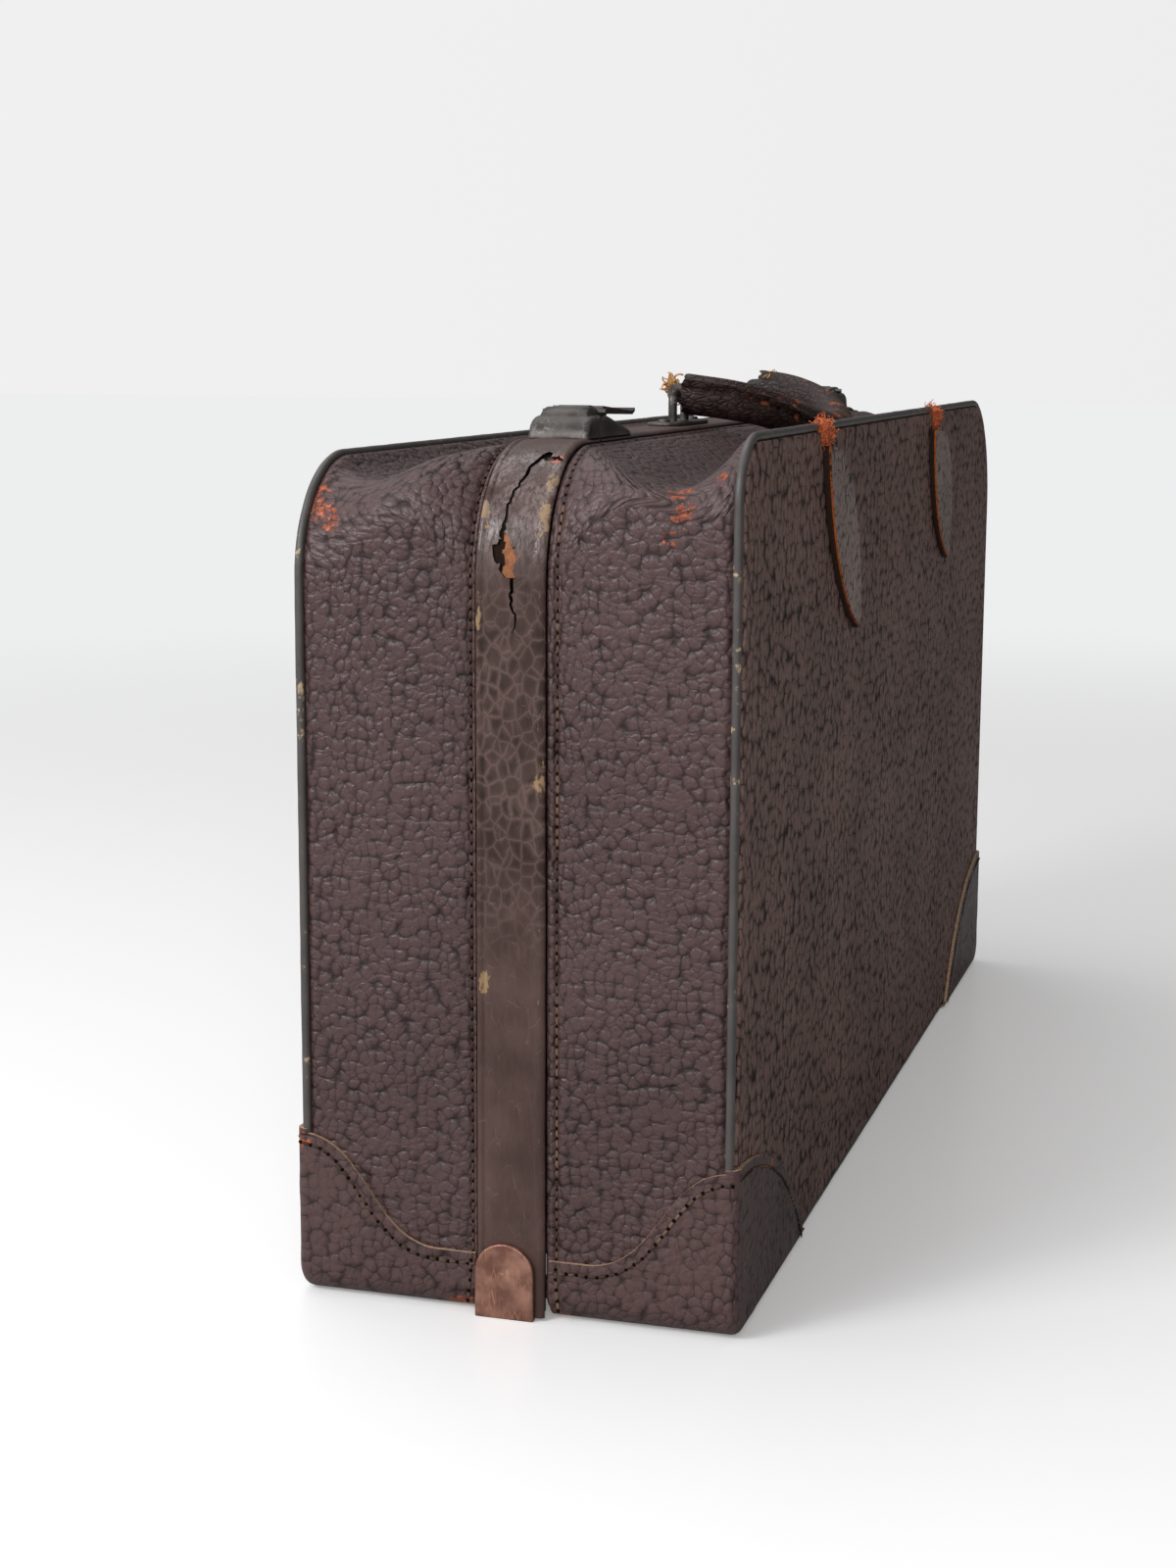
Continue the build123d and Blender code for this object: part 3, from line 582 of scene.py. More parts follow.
patch_hide = hide_finish(
    "patch_hide", upright, (0.02, 0.0088, 0.008), (0.088, 0.0485, 0.046), 0.42, 0.4, 4.3, 1.5, 0.6,
    [(-250, -86, 52, 5), (-304, 84, 62, 6), (-300, 20, 2, 12), (-300, -18, 1, 9), (-290, -80, 2, 8)],
)
raw_edge = fibrous(
    "raw_hide_edge", (0.24, 0.135, 0.08), (0.5, 0.36, 0.24), (1.1, 4.0, 0.7), (0.7, 0.2), 0.2,
    Specular_IOR_Level=0.3,
)
for side in ("left", "right"):
    for name, half in halves.items():
        shape = cad_shape(f"{name}_{side}_patch")
        diced(shape, 3.2)
        bmesh.ops.triangulate(shape, faces=[f for f in shape.faces if len(f.verts) > 4])
        shape.normal_update()
        for face in shape.faces:
            middle, way = face.calc_center_median() / mm, face.normal
            top = way.z > 0.45 and middle.z > 8
            foot = abs(middle.x) < 200 and abs(way.x) > 0.45
            gap = abs(middle.y) < 15.2 and abs(way.y) > 0.6
            face.material_index = 1 if top or foot or gap else 0
        for vert in shape.verts:
            x, y, z = place = vert.co / mm
            if (abs(x) > 305.4 or abs(y) > 86.4) and z > 1:
                push = 0.28 * noise.noise(place / 17) + 0.16 * noise.noise(place / 6)
                vert.co += vert.normal * push * mm
        placed(
            f"{name}_{side}_patch_hide", as_mesh(shape), [patch_hide, raw_edge], f"{name}_shell",
            [f"{name}_{side}_patch"], 40,
        )

# Frame band: one long strip of smooth, pressed hide over both steel frames. A
# bead runs along its back edge and a rolled lip along its front edge. It has
# split where the near end turns over to the top.
band_profile = [
    (13.4, 0.55), (13.4, 1.2), (13.1, 1.65), (12.4, 1.95), (11.7, 1.95), (11.1, 1.7), (10.7, 1.42),
    (10.2, 1.45), (9.6, 1.72), (8.4, 1.86), (6.0, 1.93), (2.5, 1.97), (-1.5, 1.97), (-5.0, 1.9),
    (-7.2, 1.8), (-8.4, 1.72), (-9.2, 1.85), (-10.1, 1.98), (-11.0, 1.95), (-11.8, 1.7), (-12.4, 1.3),
    (-12.75, 0.95), (-12.8, 0.55), (-6, 0.5), (0, 0.5), (7, 0.5),
]
crack_line = [
    (-11.5, 318.6), (-9.2, 319.8), (-6.6, 319.0), (-4.9, 320.4), (-3.4, 319.8), (-0.9, 317.0), (0.2, 312.9),
    (1.3, 310.4), (2.8, 307.6), (3.1, 304.9), (3.9, 302.4), (3.7, 297.6), (4.3, 293.8), (3.1, 291.5),
    (3.6, 288.6), (1.9, 285.4), (1.5, 281.4), (-0.4, 278.3), (-0.8, 274.8), (0.1, 271.3), (-0.4, 267.8),
    (-1.9, 264.2), (-1.5, 260.8), (-0.8, 257.3),
]
crack_width = [
    0.4, 1.1, 1.4, 2.6, 1.8, 1.3, 1.2, 1.1, 1.2, 1.1, 1.2, 1.5, 1.9, 3.8, 7.4, 8.0, 5.6, 2.4, 1.5, 1.2,
    0.9, 0.8, 0.6, 0.2,
]
band_hide, shader, place = new_finish("band_hide", IOR=1.45, Specular_IOR_Level=0.34)
high = place.axis(2) * 1000
scaly = high.ramp(120, 185) * high.ramp(250, 300, 1.0, 0.0)
stirred = place.stirred(9, 1.6)
scales = stirred.mapped((1, 1.15, 0.85)).cells(5.4)
heart = scales.ramp(0.05, 0.26) * (0.5 + 0.5 * place.cloud(9, 2.0).ramp(0.4, 0.6))
streaks = place.mapped((1, 1, 0.12)).cloud(1.3, 4.0, 0.6)
scratches = place.mapped((1, 1.1, 0.22), (8, 0, 0)).cells(2.6).ramp(0.0, 0.035, 1.0, 0.0)
patchy = place.cloud(38, 4.0, 0.6).ramp(0.35, 0.7)
colour = (0.6 * patchy + 0.4 * streaks).blend((0.04, 0.02, 0.0155), (0.104, 0.06, 0.051))
colour = (0.85 * heart * scaly).blend(colour, (0.02, 0.0095, 0.006))
colour = (0.3 * scales.ramp(0.0, 0.06, 1.0, 0.0) * scaly).blend(colour, (0.19, 0.13, 0.113))
colour = (0.16 * scratches * place.cloud(14).ramp(0.4, 0.65)).blend(colour, (0.3, 0.23, 0.19))
from_parting = place.axis(1) * 1000
edge_wear = (from_parting + 10.8).maths("ABSOLUTE").ramp(0.2, 2.0, 1.0, 0.0)
back_wear = (from_parting - 12.4).maths("ABSOLUTE").ramp(0.2, 1.6, 1.0, 0.0)
frayed = place.mapped((1, 1, 0.5)).cloud(4.5, 5.0, 0.7)
worn = ((edge_wear + back_wear) * 0.24 + frayed).ramp(0.86, 0.95)
spots = place.near([
    (-300, 12.6, 303, 8), (-303, 12.8, 296, 7), (-306, 12.8, 262, 5), (-290, -11, 312, 10),
    (-300, -11, 300, 9), (-306, -11.5, 205, 7), (-306, 10, 128, 5),
], 0.4)
worn = worn.maths("MAXIMUM", (0.36 * spots.ramp(0.0, 0.9) + frayed).ramp(0.8, 0.86))
colour = (0.85 * worn).blend(colour, frayed.blend((0.22, 0.13, 0.06), (0.38, 0.26, 0.14)))
red = place.near([(-281, -9, 321, 5), (-279, -6, 322, 4)])
colour = (red + 0.6 * frayed).ramp(0.62, 0.74).blend(colour, (0.45, 0.07, 0.02))
glossy = high.ramp(272, 300) * high.ramp(318, 326, 1.0, 0.0)
# Pale grey on the glossy top of the band: rubbed polish together with painted highlight.
polish_and_painted_highlight = glossy * streaks.ramp(0.35, 0.6) * place.cloud(9, 3.0).ramp(0.35, 0.6)
colour = (0.5 * polish_and_painted_highlight).blend(colour, (0.25, 0.205, 0.2))
relief = (
    0.22 * scales.ramp(0.0, 0.12) * (0.35 + 0.65 * scaly)
    + 0.5 * place.cloud(7, 3.0, 0.6)
    + 0.1 * streaks + 0.12 * place.cloud(1.0, 3.0) - 0.15 * scratches - 0.3 * worn
)
rough = 0.4 + 0.16 * patchy - 0.26 * glossy * streaks.ramp(0.3, 0.6) + 0.25 * worn
feed(shader, Base_Color=colour, Roughness=rough, Normal=raised(relief, 0.35))
# Near-black faces inside the band's split and the catch slots: painted shadow.
cut_edge_painted_shadow = fibrous(
    "torn_band_edge_painted_shadow", (0.004, 0.002, 0.0015), (0.02, 0.008, 0.004), (0.8, 3.0), (0.85, 0.1),
    spread=None, Specular_IOR_Level=0.2,
)
flat, way = outline(seam_height, seam_corner, seam_corner)
centre = np.concatenate(([[bag_length / 2, 1.3]], flat[over_bag], [[-bag_length / 2, 1.3]]))
ways = np.concatenate(([[1.0, 0.0]], way[over_bag], [[-1.0, 0.0]]))
points = []
for (x, z), (out_x, out_z) in zip(centre, ways):
    for y, out in band_profile:
        high = out + 0.1 * (out > 0.6) * noise.noise(Vector((x, y * 2, z)) / 14)
        sway = 0.15 * (abs(y) > 10) * noise.noise(Vector((x, 40 * np.sign(y), z)) / 23)
        points.append((x + out_x * high, y + sway, z + out_z * high))
band = make_piece(
    "band_hide_strip", points, tube_faces(len(centre), len(band_profile)), [band_hide, cut_edge_painted_shadow],
    "back_shell", ["frame_band"], 60,
)


def add_block(cutter, middle, size):
    """Adds a block to the cutter, given by its middle and its size in mm."""
    scale = Matrix.Diagonal((*(v * mm for v in size), 1))
    bmesh.ops.create_cube(cutter, size=1, matrix=Matrix.Translation(Vector(middle) * mm) @ scale)


def carve(made, cutter, finishes, crisp=45):
    """Takes the cutter's solids away from a piece; their faces may carry a second finish."""
    bmesh.ops.recalc_face_normals(cutter, faces=cutter.faces)
    cuts = in_scene("cuts", as_mesh(cutter))
    for finish in finishes:
        cuts.data.materials.append(finish)
    split = made.modifiers.new("split", "BOOLEAN")
    split.operation, split.object, split.solver = "DIFFERENCE", cuts, "EXACT"
    graph = bpy.context.evaluated_depsgraph_get()
    cut_mesh = bpy.data.meshes.new_from_object(made.evaluated_get(graph))
    made.modifiers.remove(split)
    made.data = cut_mesh
    cut_mesh.set_sharp_from_angle(angle=radians(crisp))
    bpy.data.objects.remove(cuts)


knots = range(len(crack_line))
steps = np.arange(0, len(crack_line) - 0.99, 0.34)
half_width = np.interp(steps, knots, crack_width)[:, None] / 2
crack = np.stack([np.interp(steps, knots, line) for line in zip(*crack_line)], 1)
crack[1:-1] += np.random.default_rng(11).uniform(-0.5, 0.5, (len(crack) - 2, 2)) * (0.9, 0.3)
along = np.gradient(crack, axis=0)
along /= np.linalg.norm(along, axis=1)[:, None]
across = np.stack((-along[:, 1], along[:, 0]), 1)
jag = np.random.default_rng(7)
left, right = (
    crack + turn * across * half_width * (1 + 0.25 * jag.uniform(-1, 1, half_width.shape))
    for turn in (1, -1)
)
cutter = bmesh.new()
rim = np.concatenate((left, right[::-1]))
beyond_x, within_x, catch_foot_x = -312, -262, 236.65
near, far = (
    [cutter.verts.new((x * mm, y * mm, z * mm)) for y, z in rim] for x in (beyond_x, within_x)
)
for k in range(len(crack) - 1):
    across_from = len(rim) - 1 - k
    for row in (near, far):
        cutter.faces.new((row[k], row[k + 1], row[across_from - 1], row[across_from]))
for k in range(len(rim)):
    j = (k + 1) % len(rim)
    cutter.faces.new((near[k], near[j], far[j], far[k]))
for x in (-catch_foot_x, catch_foot_x):
    add_block(cutter, (x, -6.8, 325), (2.1, 12.4, 6))
torn_slot = 1
for face in cutter.faces:
    face.material_index = torn_slot
carve(band, cutter, [band_hide, cut_edge_painted_shadow], 50)

# Seams: waxed brown thread in a lockstitch, six or seven to the inch. One row
# runs up, over and down each half beside the band, and one row edges each
# patch. Every stitch dips into its awl hole, drawn as a flat near-black spot of painted shade.
thread, shader, place = new_finish("waxed_thread", IOR=1.45, Specular_IOR_Level=0.4)
ply = place.cloud(0.7, 2.0)
worn = place.cloud(28, 4.0, 0.6).ramp(0.45, 0.62)
front_side = (place.axis(1) * 1000).ramp(-10, 10, 1.0, 0.0)
pale = worn * (0.35 + 0.65 * front_side)
feed(
    shader, Base_Color=pale.blend((0.035, 0.017, 0.01), (0.15, 0.09, 0.055)),
    Roughness=0.55 + 0.2 * ply,
)
# The awl holes are flat near-black spots: painted shade.
awl_hole_painted_shade, shader, place = new_finish("awl_hole_painted_shade", IOR=1.2, Specular_IOR_Level=0.0)
feed(shader, Base_Color=place.cloud(2).blend((0.004, 0.002, 0.002), (0.012, 0.007, 0.006)))
shader.inputs["Roughness"].default_value = 0.9


def new_tree(name, inputs):
    """A node tree that takes and gives geometry: its adder of nodes, its inputs and its end."""
    tree = bpy.data.node_groups.new(name, "GeometryNodeTree")
    kinds = {float: "Float", int: "Int", type(None): "Material"}
    tree.interface.new_socket("Geometry", in_out="INPUT", socket_type="NodeSocketGeometry")
    for key, value in inputs.items():
        kind = "NodeSocket" + kinds[type(value)]
        socket = tree.interface.new_socket(key, in_out="INPUT", socket_type=kind)
        if value is not None:
            socket.default_value = value
    tree.interface.new_socket("Geometry", in_out="OUTPUT", socket_type="NodeSocketGeometry")
    given = {s.name: Wire(tree, s) for s in tree.nodes.new("NodeGroupInput").outputs}
    return tree, Wire(tree).node, given, tree.nodes.new("NodeGroupOutput").inputs[0]


def seam_tree():
    """Stitches and awl holes set along a path, each turned with the path and its surface; the holes are
    flat spots of painted shade.
    """
    tree, add, given, end = new_tree("seam", {
        "Pitch": 3.9 * mm, "Stitch Length": 3.1 * mm, "Stitch Width": 1.35 * mm,
        "Stitch Height": 1.0 * mm, "Hole": 1.6 * mm, "Lean": 0.1, "Seed": 3,
        "Thread": None, "Hole Finish": None,
    })
    path = add("GeometryNodeMeshToCurve", {"Mesh": given["Geometry"]})
    evenly = add(
        "GeometryNodeResampleCurve", {"Curve": path, "Length": given["Pitch"]}, mode="LENGTH"
    )
    tangent = add("GeometryNodeInputTangent")
    out = add("GeometryNodeInputNamedAttribute", {"Name": "out"}, data_type="FLOAT_VECTOR")
    along = add("FunctionNodeAlignRotationToVector", {"Vector": tangent}, axis="X")
    inputs = {"Rotation": along, "Vector": out}
    upright = add("FunctionNodeAlignRotationToVector", inputs, axis="Z", pivot_axis="X")
    inputs = {2: given["Lean"] * -1.0, 3: given["Lean"], "Seed": given["Seed"]}
    chance = add("FunctionNodeRandomValue", inputs, 1, data_type="FLOAT")
    lean = add("FunctionNodeAxisAngleToRotation", {"Axis": (0, 0, 1), "Angle": chance})
    inputs = {"Rotation": upright, "Rotate By": lean}
    turned = add("FunctionNodeRotateRotation", inputs, rotation_space="LOCAL")
    inputs = {0: (0.88, 0.85, 0.8), 1: (1.08, 1.12, 1.15), "Seed": given["Seed"]}
    grown = add("FunctionNodeRandomValue", inputs, data_type="FLOAT_VECTOR")
    sizes = [given[f"Stitch {way}"] for way in ("Length", "Width", "Height")]
    hole_sizes = (given["Hole"], given["Hole"], given["Hole"] * 0.3)
    aside = add("ShaderNodeCombineXYZ", (given["Pitch"] * 0.5,))
    joined = tree.nodes.new("GeometryNodeJoinGeometry")
    for rings, scale, move, finish in (
        (6, sizes, (0, 0, 0), "Thread"), (4, hole_sizes, aside, "Hole Finish")
    ):
        ball = add("GeometryNodeMeshUVSphere", {"Segments": 8, "Rings": rings, "Radius": 0.5})
        scale = add("ShaderNodeCombineXYZ", scale)
        inputs = {"Geometry": ball, "Scale": scale, "Translation": move}
        instance = add("GeometryNodeTransform", inputs)
        inputs = {"Points": evenly, "Instance": instance, "Rotation": turned, "Scale": grown}
        set_along = add("GeometryNodeInstanceOnPoints", inputs)
        real = add("GeometryNodeRealizeInstances", {"Geometry": set_along})
        painted = add("GeometryNodeSetMaterial", {"Geometry": real, "Material": given[finish]})
        tree.links.new(painted.socket, joined.inputs[0])
    tree.links.new(joined.outputs[0], end)
    return tree


seam_nodes = seam_tree()


def modelled(name, tree, mesh, sizes, body, crisp=40):
    """The plain mesh that a node tree makes of another mesh, riding on its body."""
    draft = in_scene(name + "_draft", mesh)
    modifier = draft.modifiers.new("nodes", "NODES")
    modifier.node_group = tree
    for item in tree.interface.items_tree:
        if item.in_out == "INPUT" and item.name in sizes:
            modifier[item.identifier] = sizes[item.name]
    graph = bpy.context.evaluated_depsgraph_get()
    made_mesh = bpy.data.meshes.new_from_object(draft.evaluated_get(graph))
    bpy.data.objects.remove(draft)
    return placed(name, made_mesh, (), body, (), crisp)


def seam_path(name, runs):
    """A mesh of edges along each run of (place, way out) pairs in mm."""
    mesh = bpy.data.meshes.new(name)
    places, edges, ways = [], [], []
    for run in runs:
        first = len(places)
        places += [tuple(mm * v for v in place) for place, way in run]
        ways += [tuple(way) for place, way in run]
        edges += [(first + k, first + k + 1) for k in range(len(run) - 1)]
    mesh.from_pydata(places, edges, [])
    attribute = mesh.attributes.new("out", "FLOAT_VECTOR", "POINT")
    attribute.data.foreach_set("vector", np.array(ways, float).ravel())
    return mesh


def arc_through(first, middle, last, count):
    """Points along the circle's arc through three points."""
    (x1, z1), (x2, z2), (x3, z3) = first, middle, last
    square = [x * x + z * z for x, z in (first, middle, last)]
    twice = 2 * (x1 * (z2 - z3) + x2 * (z3 - z1) + x3 * (z1 - z2))
    cx = (square[0] * (z2 - z3) + square[1] * (z3 - z1) + square[2] * (z1 - z2)) / twice
    cz = (square[0] * (x3 - x2) + square[1] * (x1 - x3) + square[2] * (x2 - x1)) / twice
    radius = np.hypot(x1 - cx, z1 - cz)
    ends = np.unwrap([np.arctan2(z - cz, x - cx) for x, z in (first, middle, last)])
    angles = np.linspace(ends[0], ends[2], count)
    return np.stack((cx + radius * np.cos(angles), cz + radius * np.sin(angles)), 1)


def patch_edge(inset):
    """The patch's ogee edge, set in from it: y and z on the end, then x and z on the panel."""
    t = np.linspace(0, 1, 30)[:, None]
    a, b, c, d = (np.array(p) for p in ((29, 24), (57, 24), (57, 64.5), (85, 64.5)))
    curve = (1 - t) ** 3 * a + 3 * (1 - t) ** 2 * t * b + 3 * (1 - t) * t**2 * c + t**3 * d
    flat_part = np.stack((np.linspace(15.5, 28, 6), np.full(6, 24.0)), 1)
    end = np.concatenate((flat_part, curve))
    panel = arc_through((304, 66), (232, 44.88), (184, -3.2), 50)
    moved = []
    for line, turn in ((end, 1), (panel, -1)):
        step = np.gradient(line, axis=0)
        step /= np.linalg.norm(step, axis=1)[:, None]
        across = np.stack((step[:, 1], -step[:, 0]), 1)
        moved.append(line + turn * across * inset)
    return moved


patch_end_x, patch_face_y = 305.72, 86.72
low_path = ((1.2, 7), (0.6, 13), (0, 23))
for name, depth, seed in (("back", 2.2, 3), ("front", 3.9, 8)):
    half = halves[name]
    side = half["side"]
    skin, ways = drawn_skin(half, 0, [depth])
    line = (skin + ways * gusset_relief(half, skin, [depth])[:, :, None])[0][over_bag]
    ways = ways[0][over_bag]
    runs = [[(spot + 0.12 * way, way) for spot, way in zip(line, ways) if spot[2] > 25]]
    for end_side, path in ((1, low_path), (-1, low_path[::-1])):
        runs.append([
            ((end_side * 305.75, side * (half["seam"] + depth + bend), z), (end_side, 0, 0))
            for bend, z in path
        ])
    end, panel = patch_edge(4.2)
    for end_side in (-1, 1):
        runs.append([
            ((end_side * patch_end_x, side * y, z), (end_side, 0, 0)) for y, z in end if y < 83.5
        ])
        runs.append([
            ((end_side * x, side * patch_face_y, z), (0, side, 0))
            for x, z in panel if z > 2.5 and x < 302.5
        ])
    modelled(
        f"{name}_seam_stitches", seam_nodes, seam_path("seam_path", runs),
        {"Thread": thread, "Hole Finish": awl_hole_painted_shade, "Seed": seed}, f"{name}_shell",
    )

# Strap stubs: what is left of two padded straps on each panel, leaf-shaped and
# built up of plies with the good hide outside, its face coloured lighter than the
# panels as painted light. The plies show along the sides in near-black layers,
# dark plies together with painted shadow, under an orange raw line, and torn
# fibres stand at the top.
# The strap's face is coloured lighter than the panels: painted light on a face turned towards the lamp.
strap_hide_painted_light = hide_finish(
    "strap_hide_painted_light", upright, (0.02, 0.012, 0.0105), (0.33, 0.25, 0.225), 0.5, 0.2, 4.0, 2.4, 0.7,
)
ply_edge, shader, place = new_finish("strap_ply_edge", IOR=1.45, Specular_IOR_Level=0.2)
layer = (place.axis(1) * 1000).maths("ABSOLUTE")
high_ply = layer.ramp(87.1, 87.4)
rough_fibre = place.cloud(1.0, 4.0, 0.7)
# The side walls are near black: dark plies together with painted shadow along the leaf's lifted sides.
dark_ply_and_painted_shade = rough_fibre.blend((0.014, 0.007, 0.005), (0.05, 0.026, 0.018))
orange_ply = rough_fibre.ramp(0.3, 0.7).blend((0.24, 0.045, 0.01), (0.6, 0.16, 0.035))
broken = place.cloud(7, 3.0).ramp(0.28, 0.45)
feed(
    shader, Base_Color=(high_ply * broken).blend(dark_ply_and_painted_shade, orange_ply),
    Roughness=0.8 + 0.1 * rough_fibre, Normal=raised(rough_fibre, 0.3),
)

leaves = {
    "left": ((-172, 321), (-154, 280), (-100, 241.5), (-109, 285), (-150, 319)),
    "right": ((88, 319), (105, 275), (141, 252), (147, 284), (121, 317)),
}
leaf_edge = [
    (0.0, 0.0), (0.12, 0.9), (-0.05, 1.25), (0.4, 1.42), (0.0, 1.6), (-0.08, 2.3), (0.05, 2.75),
    (0.45, 2.92), (0.05, 3.1), (0.0, 3.7), (0.2, 4.0), (0.6, 4.25), (1.2, 4.38),
]
leaf_middle = (0.12, 0.2, 0.3, 0.4, 0.5, 0.6, 0.7, 0.8, 0.88)
leaf_rows, worn_thin = 60, 0.7
for name, half in halves.items():
    drop = 0 if name == "front" else 9.5
    for which, (start, left_bulge, tip, right_bulge, end) in leaves.items():
        left_line = arc_through(start, left_bulge, tip, leaf_rows)
        right_line = arc_through(end, right_bulge, tip, leaf_rows)
        points = []
        for a, b in zip(left_line, right_line):
            width = max(np.hypot(*(b - a)), 0.02)
            edge = [(min(inset, 0.45 * width) / width, rise) for inset, rise in leaf_edge]
            row = edge + [(share, 4.38 + 0.12 * sin(pi * share)) for share in leaf_middle]
            row += [(1 - share, rise) for share, rise in edge[::-1]]
            thin = min(1.0, 0.55 + width / 12)
            for share, rise in sorted(row, key=lambda pair: pair[0]):
                x, z = a + (b - a) * share
                dent = 0.18 * noise.noise(Vector((x, z, 3)) / 7) * (1 if 0.1 < share < 0.9 else 0.4)
                stand = min(4.5, rise * thin + dent * (rise > 4))
                points.append((x, half["side"] * (panel_face + worn_thin * stand), z - drop))
        stub = make_piece(
            f"{name}_{which}_strap_stub", points, tube_faces(leaf_rows, len(row)),
            [strap_hide_painted_light, ply_edge], f"{name}_shell", [f"{name}_{which}_stub"],
        )
        for face in stub.data.polygons:
            face.material_index = 1 if abs(face.normal.y) < 0.62 else 0

# Torn fibres: tufts of raw hide where the straps have pulled out of the seam,
# orange with old finish, made of short curled fibres round a matted core.
raw_fibre, shader, place = new_finish(
    "raw_orange_fibre", IOR=1.45, Sheen_Weight=0.3, Specular_IOR_Level=0.2
)
tint = place.cloud(2.0, 4.0, 0.7).ramp(0.3, 0.7)
feed(
    shader, Base_Color=tint.blend((0.28, 0.034, 0.006), (0.78, 0.19, 0.035)),
    Roughness=0.85 + 0.1 * tint,
)


def tuft_tree():
    """Curled fibres scattered over a matted lump."""
    tree, add, given, end = new_tree("tuft", {
        "Fibre Length": 4 * mm, "Fibre Thickness": 0.12 * mm, "Count": 220, "Seed": 5, "Fibre": None,
    })
    faces = add("GeometryNodeInputMeshFaceArea")
    inputs = {"Geometry": given["Geometry"], 2: faces}
    area = add("GeometryNodeAttributeStatistic", inputs, "Sum", data_type="FLOAT", domain="FACE")
    inputs = {"Mesh": given["Geometry"], "Density": given["Count"] / area, "Seed": given["Seed"]}
    points = add("GeometryNodeDistributePointsOnFaces", inputs)
    upright = Wire(tree, points.socket.node.outputs["Rotation"])
    inputs = {0: (-0.9, -0.9, -3.0), 1: (0.9, 0.9, 3.0), "Seed": given["Seed"]}
    tilt = add("FunctionNodeRandomValue", inputs, data_type="FLOAT_VECTOR")
    inputs = {"Rotation": upright, "Rotate By": add("FunctionNodeEulerToRotation", (tilt,))}
    leaned = add("FunctionNodeRotateRotation", inputs, rotation_space="LOCAL")
    inputs = {2: 0.35, 3: 1.25, "Seed": given["Seed"]}
    grown = add("FunctionNodeRandomValue", inputs, 1, data_type="FLOAT")
    bow = add("GeometryNodeCurvePrimitiveBezierSegment", {
        "Resolution": 5, "Start": (0, 0, 0), "Start Handle": (0, 0, 0.5),
        "End Handle": (0.45, 0, 0.7), "End": (0.75, 0.25, 0.45),
    })
    size = add("ShaderNodeCombineXYZ", [given["Fibre Length"]] * 3)
    bow = add("GeometryNodeTransform", {"Geometry": bow, "Scale": size})
    inputs = {"Resolution": 4, "Radius": given["Fibre Thickness"]}
    section = add("GeometryNodeCurvePrimitiveCircle", inputs)
    inputs = {"Curve": bow, "Profile Curve": section, "Fill Caps": True}
    strand = add("GeometryNodeCurveToMesh", inputs)
    inputs = {"Points": points, "Instance": strand, "Rotation": leaned, "Scale": grown}
    fibres = add("GeometryNodeInstanceOnPoints", inputs)
    joined = tree.nodes.new("GeometryNodeJoinGeometry")
    for part in (fibres, given["Geometry"]):
        tree.links.new(part.socket, joined.inputs[0])
    real = add("GeometryNodeRealizeInstances", (Wire(tree, joined.outputs[0]),))
    painted = add("GeometryNodeSetMaterial", {"Geometry": real, "Material": given["Fibre"]})
    tree.links.new(painted.socket, end)
    return tree


tuft_nodes = tuft_tree()


def tuft(name, finish, middle, size, long, thick, count, seed, body, rough, shift):
    """A matted lump, a ball drawn out of round and roughened, with its fibres."""
    shape = bmesh.new()
    bmesh.ops.create_icosphere(shape, subdivisions=3, radius=1)
    for vert in shape.verts:
        way = vert.co.copy()
        coarse = noise.noise(way * 1.7 + Vector((shift, 0, 0)))
        knob = 1 + rough * (coarse + 0.5 * noise.noise(way * 4.1 + Vector((0, shift, 0))))
        vert.co = Vector((middle[k] + way[k] * size[k] * knob) * mm for k in range(3))
    sizes = {"Fibre": finish, "Fibre Length": long * mm, "Fibre Thickness": thick * mm}
    sizes.update({"Count": count, "Seed": seed})
    modelled(name, tuft_nodes, as_mesh(shape), sizes, body, 80)


tufts = {
    "front_left": ((-168.5, -83.5, 325.5), (7.5, 2.9, 5.6), 3.4),
    "front_right": ((102, -83.4, 324.2), (8.5, 2.7, 5.2), 3.2),
    "back_left": ((-168.5, 85.0, 311.5), (6.0, 2.4, 3.6), 2.0),
    "back_right": ((102, 84.9, 310.5), (7.0, 2.4, 3.4), 2.0),
}
for number, (name, (middle, size, long)) in enumerate(tufts.items()):
    body = name.split("_")[0] + "_shell"
    tuft(
        f"{name}_torn_fibres", raw_fibre, middle, size, long, 0.14, 420, 4 + number, body,
        0.5, number * 3.3,
    )

# Split core: the suede side of the reinforcement that shows in the wide part of
# the band's split, rubbed to a warm tan.
suede, shader, place = new_finish(
    "tan_suede", IOR=1.45, Sheen_Weight=0.2, Specular_IOR_Level=0.2
)
nap = place.cloud(1.2, 4.0, 0.7)
tint = (0.5 * nap + 0.5 * place.cloud(5)).ramp(0.3, 0.7)
feed(
    shader, Base_Color=tint.blend((0.15, 0.052, 0.022), (0.36, 0.15, 0.068)),
    Roughness=0.8 + 0.1 * nap, Normal=raised(nap, 0.25),
)
bend_x, bend_z = seam_corner - bag_length / 2, seam_height - seam_corner
points, rows, columns = [], 14, 16
for level in (1.05, 0.55):
    for z in np.linspace(278, 296, rows):
        angle = asin((z - bend_z) / seam_corner)
        shift = 0.5 * noise.noise(Vector((z, 0, 4)) / 3)
        for y in np.linspace(-3.6, 7.0, columns):
            knob = 0.18 * noise.noise(Vector((y, z, 2)) / 2.5) if level > 1 else 0
            out = seam_corner + level + knob
            points.append((bend_x - out * cos(angle), y + shift, bend_z + out * sin(angle)))
layer = rows * columns
faces = [f for first in (0, layer) for f in grid_faces(rows, columns, closed=False, first=first)]
rim = list(range(columns)) + [k * columns - 1 for k in range(2, rows + 1)]
rim += [layer - 1 - k for k in range(1, columns)] + [k * columns for k in range(rows - 2, 0, -1)]
